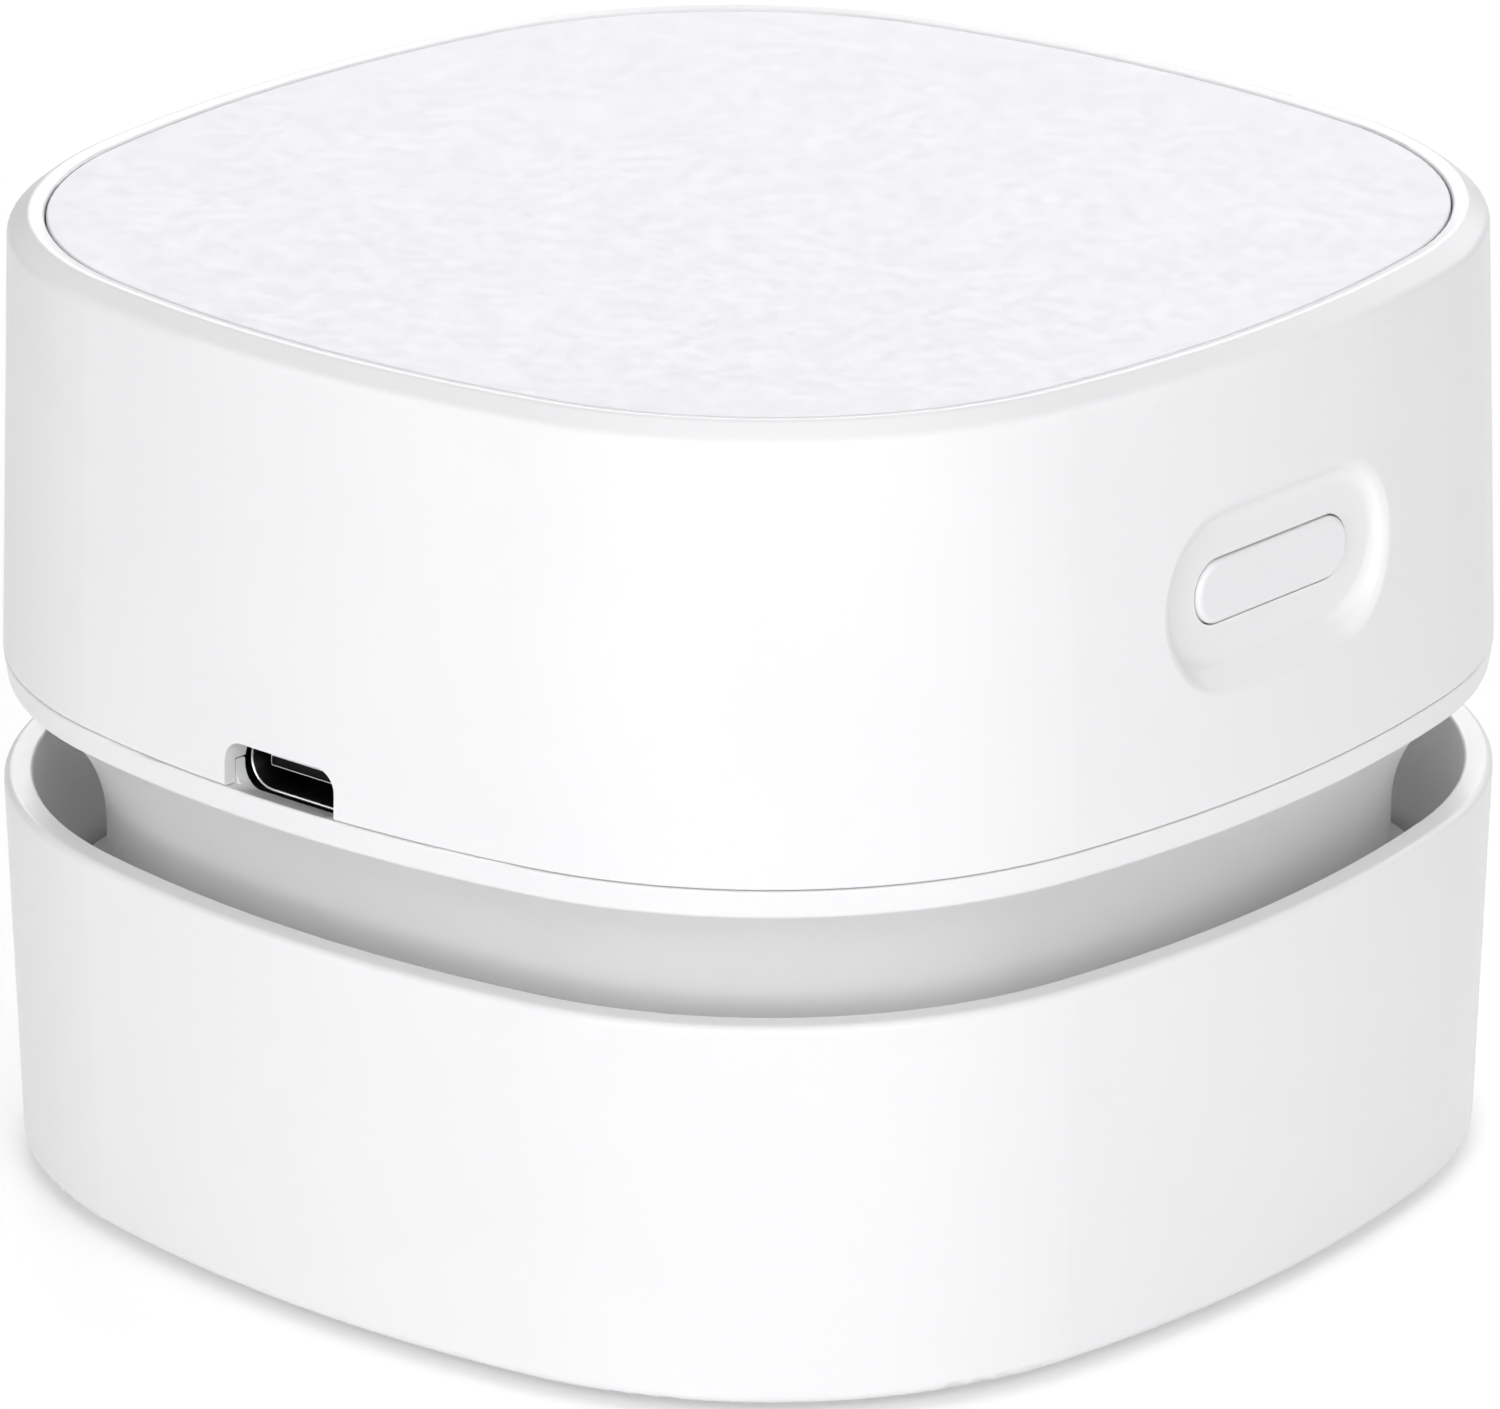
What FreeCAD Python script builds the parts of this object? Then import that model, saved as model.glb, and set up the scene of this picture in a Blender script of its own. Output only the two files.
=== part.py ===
import FreeCAD, Part
import math
import os

# Desktop mini vacuum cleaner, in millimetres. +Z is up, the table is z = 0, and the
# origin is under the middle of the body. The power button faces -Y and the charging
# socket faces -X.

V = FreeCAD.Vector
UP = V(0, 0, 1)

# ---- plan outline: four bowed sides joined by large round corners ----
half_width = 42.5
side_radius = 93.34
side_reach = 17.98

# ---- stack of heights ----
bristle_reach = 0.8
cup_height = 24.2
grip_gap = 6.7
band_height = 1.75
shell_height = 27.75
plate_recess = 1.6
plate_thickness = 2.0
bin_height = 5.8
filter_height = 3.6
floor_thickness = 1.6
fan_chamber_height = 11.0
deck_thickness = 1.6
deck_reach = 0.8

# ---- fits and gaps ----
sliding_gap = 0.4
seat_gap = 0.12
hairline = 0.08
parting_gap = 0.08
running_gap = 0.03
end_flat = 0.01
overlap = 0.5
overshoot = 1.0
edge_break = 0.2
sharp_break = 0.15

# ---- dust cup ----
cup_flare = 0.65
rim_outside = 0.2
cup_wall = 1.8
ledge_width = 2.4
ledge_thickness = 1.0
shoulder_step = 0.5
cup_edge_round = 0.7
rim_round = 0.5
boss_radius = 2.8
boss_height = 5.0
base_screw_inset = 5.8
inlet_radius = 9.0
chimney_wall = 1.2
chimney_height = 4.0
inlet_round = 0.8

# ---- brush ring ----
brush_count = 8
brush_inset = 9.5
brush_width = 2.6
brush_gap_degrees = 8.0
brush_groove = 1.2
brush_end_play = 0.3

# ---- filter cassette ----
filter_rim = 3.2
filter_rib_width = 1.6
filter_rib_height = 1.0
filter_ring_radius = 17.0
mesh_thickness = 0.4
gasket_thickness = 0.4
gasket_inset = 0.5

# ---- head, lower cover ----
head_wall = 1.6
neck_inset = 6.1
flare_slope = 35.0
flare_radius = 11.0
head_edge_inset = 0.23
head_edge_round = 0.35
neck_root_round = 0.6
lip_thickness = 0.75
lip_inset = 1.0
lip_height = 1.4
lip_play = 0.1
seal_groove_depth = 0.8
seal_height = 0.8
seal_squeeze = 0.15
slot_count = 8
slot_width = 1.7
slot_pitch = 3.1
slot_height = 2.8
slot_lift = 0.3
grille_radius = 13.0
grille_hub = 4.0
grille_bar = 1.2
grille_spokes = 6
pillar_inset = 5.13
pillar_radius = 3.0
head_screw_pocket = 6.2

# ---- head, upper shell ----
shell_wall = 1.8
shell_draft = 0.97
shoulder_height = 1.0
shoulder_width = 1.37
shoulder_round = 0.8
crest_round = 0.6
lip_round = 0.2
lip_drop = 0.2
panel_inset = 3.27
panel_drop = 0.24
panel_thickness = 1.2
tape_thickness = 0.2
tape_inset = 2.6
roof_thickness = 1.6
roof_root_round = 0.6
column_radius = 3.2
motor_ring_wall = 1.2
motor_grip = 1.0

# ---- power button ----
button_length = 14.3
button_height = 3.9
button_above_seam = 12.78
button_proud = 0.3
button_round = 0.35
button_travel = 0.5
button_gap = 0.12
button_flange = 1.6
button_flange_thickness = 1.0
dish_length = 19.6
dish_height = 9.0
dish_depth = 1.3
dish_edge_round = 0.7
dish_floor_round = 0.8
pad_thickness = 1.64
pad_margin = 2.0
stop_gap = 0.3

# ---- switch behind the button ----
switch_size = 6.0
switch_depth = 3.5
stem_radius = 1.75
stem_reach = 1.5
stem_length = 2.4
push_boss_radius = 2.0
push_boss_length = 0.5
switch_board_width = 20.0
switch_board_height = 14.0
board_thickness = 1.2
guide_width = 1.6
guide_grip = 1.4
guide_cheek = 1.2
flange_room = 0.85
stem_play = 0.08
stem_clearance = 0.2

# ---- charging socket ----
socket_width = 8.94
socket_height = 3.26
socket_depth = 7.3
socket_wall = 0.3
socket_recess = 2.4
socket_above_seam = 1.13
tongue_width = 6.69
tongue_thickness = 0.7
tongue_length = 4.5
socket_base_depth = 2.0
notch_width = 8.8
notch_height = 2.9
notch_corner = 1.2
mouth_corner = 1.62
notch_sill_round = 0.3
notch_draft = 0.05

# ---- motor and fan ----
shaft_radius = 1.0
impeller_radius = 26.0
impeller_lift = 1.0
blade_height = 7.3
blade_count = 9
blade_thickness = 1.0
blade_root = 8.0
blade_wrap = 48.0
blade_sweep = 0.4
impeller_disc = 0.8
hub_radius = 5.0
motor_radius = 12.0
motor_head_room = 1.24
motor_wall = 1.0
damper_thickness = 0.8
motor_boss_radius = 3.0
motor_boss_height = 1.2
end_cap_thickness = 2.0
magnet_thickness = 3.0
magnet_top_room = 4.5
magnet_lift = 4.0
magnet_degrees = 130.0
armature_radius = 7.5
armature_top_room = 7.5
armature_lift = 7.0
core_hub_radius = 3.0
pole_width = 2.2
pole_shoe = 1.5
shoe_half_width = 4.6
coil_width = 5.0
coil_gap = 0.15
winding_overhang = 1.6
commutator_radius = 2.6
commutator_length = 3.5
commutator_gap = 0.4
bush_radius = 2.6
bush_length = 2.2
motor_screw_circle = 8.0
terminal_spread = 4.0
terminal_reach = 2.5
terminal_width = 2.4
terminal_thickness = 0.5
terminal_slot_room = 0.8
spigot_length = 1.5
spigot_wall = 1.2

# ---- battery ----
cell_radius = 9.15
cell_length = 35.0
cell_gap = 3.35
cell_lift = 0.9
cell_edge_round = 0.8
saddle_thickness = 2.0
saddle_spacing = 22.0
saddle_height = 6.0
tab_thickness = 0.2
tab_width = 6.0
tab_length = 13.0

# ---- main board ----
board_edge_inset = 5.2
board_gap = 3.0
board_half_length = 16.0
standoff_radius = 2.4
standoff_inset = 5.0
# each part: distance from the board's middle line, place along it, length, width, height
board_parts = (
    (-1.0, 3.5, 5.0, 4.0, 1.6),
    (1.0, -3.5, 5.2, 5.2, 2.6),
    (1.0, 9.5, 3.2, 3.2, 1.2),
    (1.0, -10.5, 3.2, 2.4, 1.4),
)

# ---- fasteners ----
base_screw = {"shank": 1.0, "head": 1.9, "height": 1.2}
head_screw = {"shank": 1.15, "head": 2.1, "height": 1.4}
motor_screw = {"shank": 1.0, "head": 1.8, "height": 1.0}
board_screw = {"shank": 0.8, "head": 1.5, "height": 0.9}
screw_play = 0.15
cross_width = 0.5
cross_depth = 0.6
base_screw_length = 5.2
head_screw_length = 15.0
motor_screw_length = 4.0
board_screw_length = 3.6

# ---- wiring ----
wire_radius = 0.6
wire_bend = 1.2
lead_inset = 4.7
lead_clearance = 1.7
near_lead_landing = 2.8
far_lead_landing = 6.0
switch_lead_spread = 3.0
switch_lead_pitch = 1.6

# ---- levels worked out from the stack ----
cup_bottom = bristle_reach
plate_bottom = cup_bottom + plate_recess
plate_top = plate_bottom + plate_thickness
ledge_top = plate_top + bin_height
filter_top = ledge_top + filter_height
floor_top = filter_top + floor_thickness
rim_top = cup_bottom + cup_height
head_edge = rim_top + grip_gap
seam = head_edge + band_height
deck_bottom = floor_top + fan_chamber_height
deck_top = deck_bottom + deck_thickness
crest = seam + shell_height
panel_top = crest - panel_drop
panel_bottom = panel_top - panel_thickness
roof_top = panel_bottom - tape_thickness
roof_bottom = roof_top - roof_thickness
motor_bottom = deck_top + damper_thickness
end_cap_top = roof_bottom - motor_head_room - motor_boss_height
motor_top = end_cap_top - end_cap_thickness
magnet_top = motor_top - magnet_top_room
armature_bottom = motor_bottom + armature_lift
armature_top = motor_top - armature_top_room
button_level = seam + button_above_seam
socket_level = seam + socket_above_seam
board_top = socket_level - socket_height / 2
board_bottom = board_top - board_thickness

# ---- plan positions worked out from the outline ----
side_shift = side_radius - half_width
side_angle = math.degrees(math.asin(side_reach / side_radius))
side_slope = side_reach / side_radius
arc_distance = side_shift / (math.cos(math.radians(side_angle)) - side_slope)
corner_shift = side_radius - arc_distance - half_width
corner_centre = arc_distance * side_slope
neck_half = half_width - neck_inset
panel_half = half_width - panel_inset
brush_circle = half_width - brush_inset
cell_offset = motor_radius + cell_gap + cell_radius
board_outer_edge = half_width - board_edge_inset
board_inner_edge = motor_radius + board_gap


def wall_half(z):
    """Outside of the upper shell's drafted wall, at the middle of a side."""
    rise = shell_height - shoulder_height
    return half_width - shell_draft * (z - seam) / rise


def cup_half(z):
    """Outside of the dust cup's flared wall, at the middle of a side."""
    rim_half = half_width + rim_outside
    return rim_half - cup_flare * (rim_top - z) / cup_height


def cup_inside(z):
    return cup_half(z) - cup_wall


def corner_reach(half):
    """Distance from the axis to the outline with that half width, along a diagonal."""
    return corner_centre * math.sqrt(2) + half + corner_shift


def turned(length, degrees, z=0.0):
    angle = math.radians(degrees)
    return V(length * math.cos(angle), length * math.sin(angle), z)


# ---- shape helpers ----
def outline(half, z):
    """Closed plan outline of eight tangent arcs, at one height."""
    edges = []
    for quarter in range(4):
        facing = 90.0 * quarter
        side_centre = turned(side_shift, facing + 180, z)
        corner_middle = turned(corner_centre * math.sqrt(2), facing + 45, z)
        arcs = (
            (side_centre, half + side_shift, facing - side_angle, 2 * side_angle),
            (corner_middle, half + corner_shift, facing + side_angle, 90 - 2 * side_angle),
        )
        for middle, radius, start, span in arcs:
            points = [middle + turned(radius, start + span * part / 2) for part in range(3)]
            edges.append(Part.Arc(*points).toShape())
    return Part.Wire(Part.__sortEdges__(edges))


def plate(half, bottom, top):
    return Part.Face(outline(half, bottom)).extrude(V(0, 0, top - bottom))


def rounded_face(corners):
    """Face in the x-z plane; each corner is (x, z, radius)."""
    spots = [V(x, 0, z) for x, z, radius in corners]
    ends = []
    for index, (x, z, radius) in enumerate(corners):
        here = spots[index]
        back = spots[index - 1] - here
        ahead = spots[(index + 1) % len(spots)] - here
        if radius <= 0:
            ends.append((here, None, here))
            continue
        half_angle = back.getAngle(ahead) / 2
        run = radius / math.tan(half_angle)
        first = here + back.normalize() * run
        last = here + ahead.normalize() * run
        inward = (back + ahead).normalize()
        middle = here + inward * (radius / math.sin(half_angle) - radius)
        ends.append((first, middle, last))
    edges = []
    for index, (first, middle, last) in enumerate(ends):
        if middle is not None:
            edges.append(Part.Arc(first, middle, last).toShape())
        following = ends[(index + 1) % len(ends)][0]
        if last.distanceToPoint(following) > 1e-6:
            edges.append(Part.LineSegment(last, following).toShape())
    return Part.Face(Part.Wire(edges))


def ring(corners):
    """Sweep a section, given as (half width, z, radius) corners, round the plan outline."""
    section = rounded_face(corners)
    pieces = []
    for quarter in range(4):
        facing = 90.0 * quarter
        side = section.copy()
        side.translate(V(side_shift, 0, 0))
        side = side.revolve(V(), UP, 2 * side_angle)
        side.rotate(V(), UP, facing - side_angle)
        side.translate(turned(side_shift, facing + 180))
        corner = section.copy()
        corner.translate(V(corner_shift, 0, 0))
        corner = corner.revolve(V(), UP, 90 - 2 * side_angle)
        corner.rotate(V(), UP, facing + side_angle)
        corner.translate(turned(corner_centre * math.sqrt(2), facing + 45))
        pieces += [side, corner]
    return pieces[0].multiFuse(pieces[1:]).removeSplitter()


def band(inner, outer, bottom, top, edge_round=0.0):
    return ring([
        (outer, bottom, edge_round),
        (outer, top, edge_round),
        (inner, top, 0),
        (inner, bottom, 0),
    ])


def rod(x, y, bottom, top, radius):
    return Part.makeCylinder(radius, top - bottom, V(x, y, bottom), UP)


def hole(x, y, bottom, top, radius):
    """Cutter for a hole right through from bottom to top."""
    return rod(x, y, bottom - overshoot, top + overshoot, radius)


def tube(x, y, bottom, top, inner, outer):
    return rod(x, y, bottom, top, outer).cut(rod(x, y, bottom, top, inner))


def block(low, high):
    size = V(*high) - V(*low)
    return Part.makeBox(size.x, size.y, size.z, V(*low))


def rounded_wire(length, height, radius, low_radius, along, level, facing):
    """Rounded rectangle in a vertical plane, centred at height level; lower corners apart."""

    def spot(u, w):
        return V(u, along, level + w) if facing == "y" else V(along, u, level + w)

    arcs = []
    for corner in range(4):
        bend = radius if corner in (0, 1) else low_radius
        side = 1 if corner in (0, 3) else -1
        rise = 1 if corner in (0, 1) else -1
        cx = side * (length / 2 - bend)
        cz = rise * (height / 2 - bend)
        points = []
        for part in range(3):
            angle = math.radians(90.0 * corner + 45 * part)
            points.append(spot(cx + bend * math.cos(angle), cz + bend * math.sin(angle)))
        arcs.append(points)
    edges = []
    for index, points in enumerate(arcs):
        following = arcs[(index + 1) % 4][0]
        edges.append(Part.Arc(*points).toShape())
        edges.append(Part.LineSegment(points[2], following).toShape())
    return Part.Wire(edges)


def pill_wire(length, height, along, level, facing="y"):
    radius = height / 2 - end_flat
    return rounded_wire(length, height, radius, radius, along, level, facing)


def pill(length, height, near, far, level, facing="y"):
    """Bar with fully rounded ends between two planes across y (or across x)."""
    wire = pill_wire(length, height, near, level, facing)
    run = V(0, far - near, 0) if facing == "y" else V(far - near, 0, 0)
    return Part.Face(wire).extrude(run)


def diagonal_spots(diagonal):
    return [turned(diagonal, 45 + 90 * quarter) for quarter in range(4)]


def screw(place, head_base, length, kind, upward=1):
    """Pan-head screw whose shank runs along +Z (or -Z) from the head's bearing face."""
    head = Part.makeCylinder(kind["head"], kind["height"], V(0, 0, -kind["height"]), UP)
    rim = [edge for edge in head.Edges if abs(edge.BoundBox.ZMax + kind["height"]) < 1e-6]
    head = head.makeFillet(kind["height"] * 0.4, rim[:1])
    shank = Part.makeCylinder(kind["shank"], length, V(), UP)
    body = head.fuse(shank)
    arm = kind["head"] * 0.62
    low = -kind["height"]
    for wide, narrow in ((arm, cross_width / 2), (cross_width / 2, arm)):
        body = body.cut(block((-wide, -narrow, low), (wide, narrow, low + cross_depth)))
    if upward < 0:
        body.rotate(V(), V(1, 0, 0), 180)
    body.translate(V(place.x, place.y, head_base))
    return body


def wire_run(points):
    """Round insulated wire along straight runs joined by tangent arcs."""
    spots = [V(*point) for point in points]
    edges = []
    start = spots[0]
    for before, here, after in zip(spots, spots[1:], spots[2:]):
        back = (before - here).normalize()
        ahead = (after - here).normalize()
        half_angle = back.getAngle(ahead) / 2
        run = wire_bend / math.tan(half_angle)
        inward = (back + ahead).normalize()
        first = here + back * run
        last = here + ahead * run
        middle = here + inward * (wire_bend / math.sin(half_angle) - wire_bend)
        edges.append(Part.LineSegment(start, first).toShape())
        edges.append(Part.Arc(first, middle, last).toShape())
        start = last
    edges.append(Part.LineSegment(start, spots[-1]).toShape())
    path = Part.Wire(edges)
    heading = (spots[1] - spots[0]).normalize()
    circle = Part.Wire(Part.makeCircle(wire_radius, spots[0], heading))
    return path.makePipeShell([circle], True, False)


# ---- dust cup and what is fixed to it ----
plate_half = cup_inside(plate_top) + shoulder_step - seat_gap
ledge_half = cup_inside(ledge_top) - ledge_width
base_screw_spots = diagonal_spots(corner_reach(cup_inside(plate_top)) - base_screw_inset)


def dust_cup():
    ledge_root = ledge_top - ledge_thickness - ledge_width
    walls = ring([
        (cup_half(cup_bottom), cup_bottom, cup_edge_round),
        (cup_half(rim_top), rim_top, rim_round),
        (cup_inside(rim_top), rim_top, edge_break),
        (cup_inside(ledge_top), ledge_top, edge_break),
        (ledge_half, ledge_top, edge_break),
        (ledge_half, ledge_top - ledge_thickness, 0),
        (cup_inside(ledge_root), ledge_root, 0),
        (cup_inside(plate_top), plate_top, 0),
        (cup_inside(plate_top) + shoulder_step, plate_top, 0),
        (cup_inside(plate_top) + shoulder_step, cup_bottom, edge_break),
    ])
    boss_top = plate_top + boss_height
    inside = plate(cup_inside(plate_top) + overlap / 2, plate_top, boss_top)
    for spot in base_screw_spots:
        outward = V(spot.x, spot.y, 0).normalize()
        boss = rod(spot.x, spot.y, plate_top, boss_top, boss_radius)
        web = block((0, -boss_radius, plate_top), (boss_radius * 3, boss_radius, boss_top))
        web.rotate(V(), UP, math.degrees(math.atan2(outward.y, outward.x)))
        web.translate(V(spot.x, spot.y, 0))
        walls = walls.fuse(boss.fuse(web).common(inside))
        hole_top = plate_bottom + base_screw["height"] + base_screw_length
        walls = walls.cut(rod(spot.x, spot.y, plate_top - overshoot, hole_top, base_screw["shank"]))
    return walls.removeSplitter()


def brush_span():
    return 360.0 / brush_count - brush_gap_degrees


def brush_arc(bottom, top, width, extra_degrees=0.0):
    """One curved strip of the brush ring, centred on +X."""
    span = brush_span() + extra_degrees
    section = Part.Face(Part.makePolygon([
        V(brush_circle - width / 2, 0, bottom),
        V(brush_circle + width / 2, 0, bottom),
        V(brush_circle + width / 2, 0, top),
        V(brush_circle - width / 2, 0, top),
        V(brush_circle - width / 2, 0, bottom),
    ]))
    strip = section.revolve(V(), UP, span)
    strip.rotate(V(), UP, -span / 2)
    return strip


def brush_copies(strip):
    copies = []
    for index in range(brush_count):
        copy = strip.copy()
        copy.rotate(V(), UP, 360.0 * index / brush_count)
        copies.append(copy)
    return copies


def base_plate():
    body = plate(plate_half, plate_bottom, plate_top)
    chimney_top = plate_top + chimney_height
    body = body.fuse(rod(0, 0, plate_bottom, chimney_top, inlet_radius + chimney_wall))
    bore = hole(0, 0, plate_bottom, chimney_top, inlet_radius)
    mouth = Part.makeCone(
        inlet_radius + inlet_round, inlet_radius, inlet_round, V(0, 0, plate_bottom), UP
    )
    body = body.cut(bore.fuse(mouth))
    groove_top = plate_bottom + brush_groove
    groove = brush_arc(plate_bottom - overshoot, groove_top, brush_width + hairline, brush_end_play)
    body = body.cut(Part.makeCompound(brush_copies(groove)))
    for spot in base_screw_spots:
        seat = plate_bottom + base_screw["height"]
        body = body.cut(hole(spot.x, spot.y, plate_bottom, plate_top, base_screw["shank"] + screw_play))
        pocket = rod(spot.x, spot.y, plate_bottom - overshoot, seat, base_screw["head"] + screw_play)
        body = body.cut(pocket)
    return body


def brush_strips():
    strip = brush_arc(0, plate_bottom + brush_groove, brush_width)
    return Part.makeCompound(brush_copies(strip))


def base_screws():
    seat = plate_bottom + base_screw["height"]
    return Part.makeCompound([
        screw(spot, seat, base_screw_length, base_screw) for spot in base_screw_spots
    ])


# ---- filter cassette ----
filter_half = cup_inside(ledge_top) - sliding_gap
filter_window = filter_half - filter_rim
frame_top = filter_top - gasket_thickness


def filter_frame():
    frame = band(filter_window, filter_half, ledge_top, frame_top, edge_break)
    rib_top = ledge_top + filter_rib_height
    reach = filter_window + filter_rim / 2
    ribs = block((-reach, -filter_rib_width / 2, ledge_top), (reach, filter_rib_width / 2, rib_top))
    ribs = ribs.fuse(
        block((-filter_rib_width / 2, -reach, ledge_top), (filter_rib_width / 2, reach, rib_top))
    )
    hoop = tube(0, 0, ledge_top, rib_top, filter_ring_radius, filter_ring_radius + filter_rib_width)
    return frame.fuse(ribs).fuse(hoop).removeSplitter()


def filter_mesh():
    bottom = ledge_top + filter_rib_height
    return plate(filter_window - hairline, bottom, bottom + mesh_thickness)


def filter_foam():
    bottom = ledge_top + filter_rib_height + mesh_thickness
    return plate(filter_window - hairline, bottom, frame_top)


def filter_gasket():
    return band(filter_window + gasket_inset, filter_half - gasket_inset, frame_top, filter_top)


# ---- lower cover of the head ----
flange_half = filter_half
band_half = half_width - head_edge_inset
lip_outer = half_width - lip_inset
lip_inner = lip_outer - lip_thickness
flare_tangent = math.tan(math.radians(flare_slope))
seal_bottom = filter_top + (floor_thickness - seal_height) / 2
column_bottom = deck_top
column_spots = diagonal_spots(corner_reach(neck_half) - pillar_inset)


def flare_shift():
    """Height gained by the inner flare line over the outer one, for the wall's thickness."""
    return head_wall / math.cos(math.radians(flare_slope))


def lower_cover_wall():
    neck_corner = head_edge - (band_half - neck_half) * flare_tangent
    inner_half = neck_half - head_wall
    inner_corner = neck_corner + flare_shift() - head_wall * flare_tangent
    inner_edge = head_edge + flare_shift() - (band_half - lip_inner) * flare_tangent
    root = inner_half - overshoot
    return ring([
        (flange_half, filter_top, edge_break),
        (flange_half, floor_top, edge_break),
        (neck_half, floor_top, neck_root_round),
        (neck_half, neck_corner, flare_radius),
        (band_half, head_edge, head_edge_round),
        (half_width, seam - parting_gap, sharp_break),
        (lip_outer, seam - parting_gap, 0),
        (lip_outer, seam + lip_height, sharp_break),
        (lip_inner, seam + lip_height, sharp_break),
        (lip_inner, inner_edge, 0),
        (inner_half, inner_corner, flare_radius + head_wall),
        (inner_half, floor_top, 0),
        (root, floor_top, 0),
        (root, filter_top, 0),
    ])


def inlet_grille():
    """What is cut out of the floor under the fan: windows between rings and spokes."""
    middle_ring = (grille_hub + grille_radius) / 2
    low = filter_top - overshoot
    high = floor_top + overshoot
    cut = tube(0, 0, low, high, grille_hub, grille_radius)
    cut = cut.cut(tube(0, 0, low, high, middle_ring - grille_bar / 2, middle_ring + grille_bar / 2))
    for index in range(grille_spokes):
        spoke = block((0, -grille_bar / 2, low), (2 * grille_radius, grille_bar / 2, high))
        spoke.rotate(V(), UP, 360.0 * index / grille_spokes)
        cut = cut.cut(spoke)
    return cut


def exhaust_slots():
    cutters = []
    bottom = floor_top + slot_lift
    for quarter in range(4):
        for index in range(slot_count):
            across = (index - (slot_count - 1) / 2) * slot_pitch
            slot = block(
                (neck_half - 3 * head_wall, across - slot_width / 2, bottom),
                (neck_half + head_wall, across + slot_width / 2, bottom + slot_height),
            )
            slot.rotate(V(), UP, 90 * quarter)
            cutters.append(slot)
    return Part.makeCompound(cutters)


def socket_mouth():
    return -wall_half(socket_level) + socket_recess


def socket_pocket(through_seam):
    """Tapered recess in front of the charging socket, from outside the wall to its mouth."""
    mouth = socket_mouth()
    outer = -half_width - overshoot
    reach = mouth - outer
    widen = notch_draft * reach / socket_recess
    top = seam + notch_height
    floor = socket_level - socket_height / 2 - hairline
    sill = floor + (seam - floor) * reach / socket_recess
    near_bottom = sill - widen
    near_top = top + widen
    near = rounded_wire(
        notch_width + 2 * widen, near_top - near_bottom, notch_corner, notch_sill_round,
        outer, (near_top + near_bottom) / 2, "x",
    )
    far = rounded_wire(
        notch_width, top - floor, mouth_corner, mouth_corner, mouth + end_flat, (top + floor) / 2, "x"
    )
    pocket = Part.makeLoft([near, far], True, True)
    if not through_seam:
        return pocket
    low = seam - overshoot
    sides = []
    for x, half in ((outer, notch_width / 2 + widen), (mouth + end_flat, notch_width / 2)):
        sides.append(Part.makePolygon([
            V(x, -half, low),
            V(x, half, low),
            V(x, half, socket_level),
            V(x, -half, socket_level),
            V(x, -half, low),
        ]))
    return pocket.fuse(Part.makeLoft(sides, True, True))


def lower_cover():
    body = lower_cover_wall()
    body = body.fuse(plate(neck_half - head_wall, filter_top, floor_top))
    inside = plate(neck_half - head_wall / 2, filter_top, deck_bottom)
    for spot in column_spots:
        body = body.fuse(rod(spot.x, spot.y, filter_top, deck_bottom, pillar_radius).common(inside))
    body = body.cut(inlet_grille()).cut(exhaust_slots())
    groove = band(
        flange_half - seal_groove_depth, flange_half + overshoot, seal_bottom, seal_bottom + seal_height
    )
    body = body.cut(groove)
    pocket_top = filter_top + head_screw_pocket
    for spot in column_spots:
        body = body.cut(hole(spot.x, spot.y, filter_top, deck_bottom, head_screw["shank"] + screw_play))
        pocket = rod(spot.x, spot.y, filter_top - overshoot, pocket_top, head_screw["head"] + screw_play)
        body = body.cut(pocket)
    return body.cut(socket_pocket(False)).removeSplitter()


def neck_seal():
    outer = cup_inside(seal_bottom) - seal_squeeze
    inner = flange_half - seal_groove_depth
    return band(inner, outer, seal_bottom, seal_bottom + seal_height)


# ---- fan deck inside the head ----
deck_half = neck_half - head_wall + deck_reach
cell_level = deck_top + cell_lift + cell_radius
standoff_spots = [
    V(-board_outer_edge + standoff_inset, side * (board_half_length - standoff_inset), 0)
    for side in (-1, 1)
]
post_spots = [
    V(-board_inner_edge - standoff_inset, side * board_half_length / 2, 0) for side in (-1, 1)
]


def saddles():
    half_span = cell_radius * 0.8
    pieces = []
    for side in (-1, 1):
        x = side * saddle_spacing / 2
        pieces.append(block(
            (x - saddle_thickness / 2, cell_offset - half_span, deck_bottom + overlap),
            (x + saddle_thickness / 2, cell_offset + half_span, deck_top + saddle_height),
        ))
    bed = Part.makeCylinder(
        cell_radius, 2 * saddle_spacing, V(-saddle_spacing, cell_offset, cell_level), V(1, 0, 0)
    )
    room = plate(deck_half, deck_bottom, deck_top + saddle_height)
    return Part.makeCompound(pieces).common(room).cut(bed)


def fan_deck():
    body = plate(deck_half, deck_bottom, deck_top)
    for spot in standoff_spots + post_spots:
        body = body.fuse(rod(spot.x, spot.y, deck_bottom + overlap, board_bottom, standoff_radius))
    for solid in saddles().Solids:
        body = body.fuse(solid)
    body = body.cut(hole(0, 0, deck_bottom, deck_top, motor_boss_radius + screw_play))
    for spot in column_spots:
        body = body.cut(hole(spot.x, spot.y, deck_bottom, deck_top, head_screw["shank"] + screw_play))
    for side in (-1, 1):
        x = side * motor_screw_circle
        body = body.cut(hole(x, 0, deck_bottom, deck_top, motor_screw["shank"] + screw_play))
    for spot in standoff_spots:
        depth = board_top - board_screw_length
        body = body.cut(rod(spot.x, spot.y, depth, board_top, board_screw["shank"]))
    return body


# ---- motor ----
def motor_damper():
    body = rod(0, 0, deck_top, motor_bottom, motor_radius)
    body = body.cut(hole(0, 0, deck_top, motor_bottom, motor_boss_radius + screw_play))
    for side in (-1, 1):
        x = side * motor_screw_circle
        body = body.cut(hole(x, 0, deck_top, motor_bottom, motor_screw["shank"] + screw_play))
    return body


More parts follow.
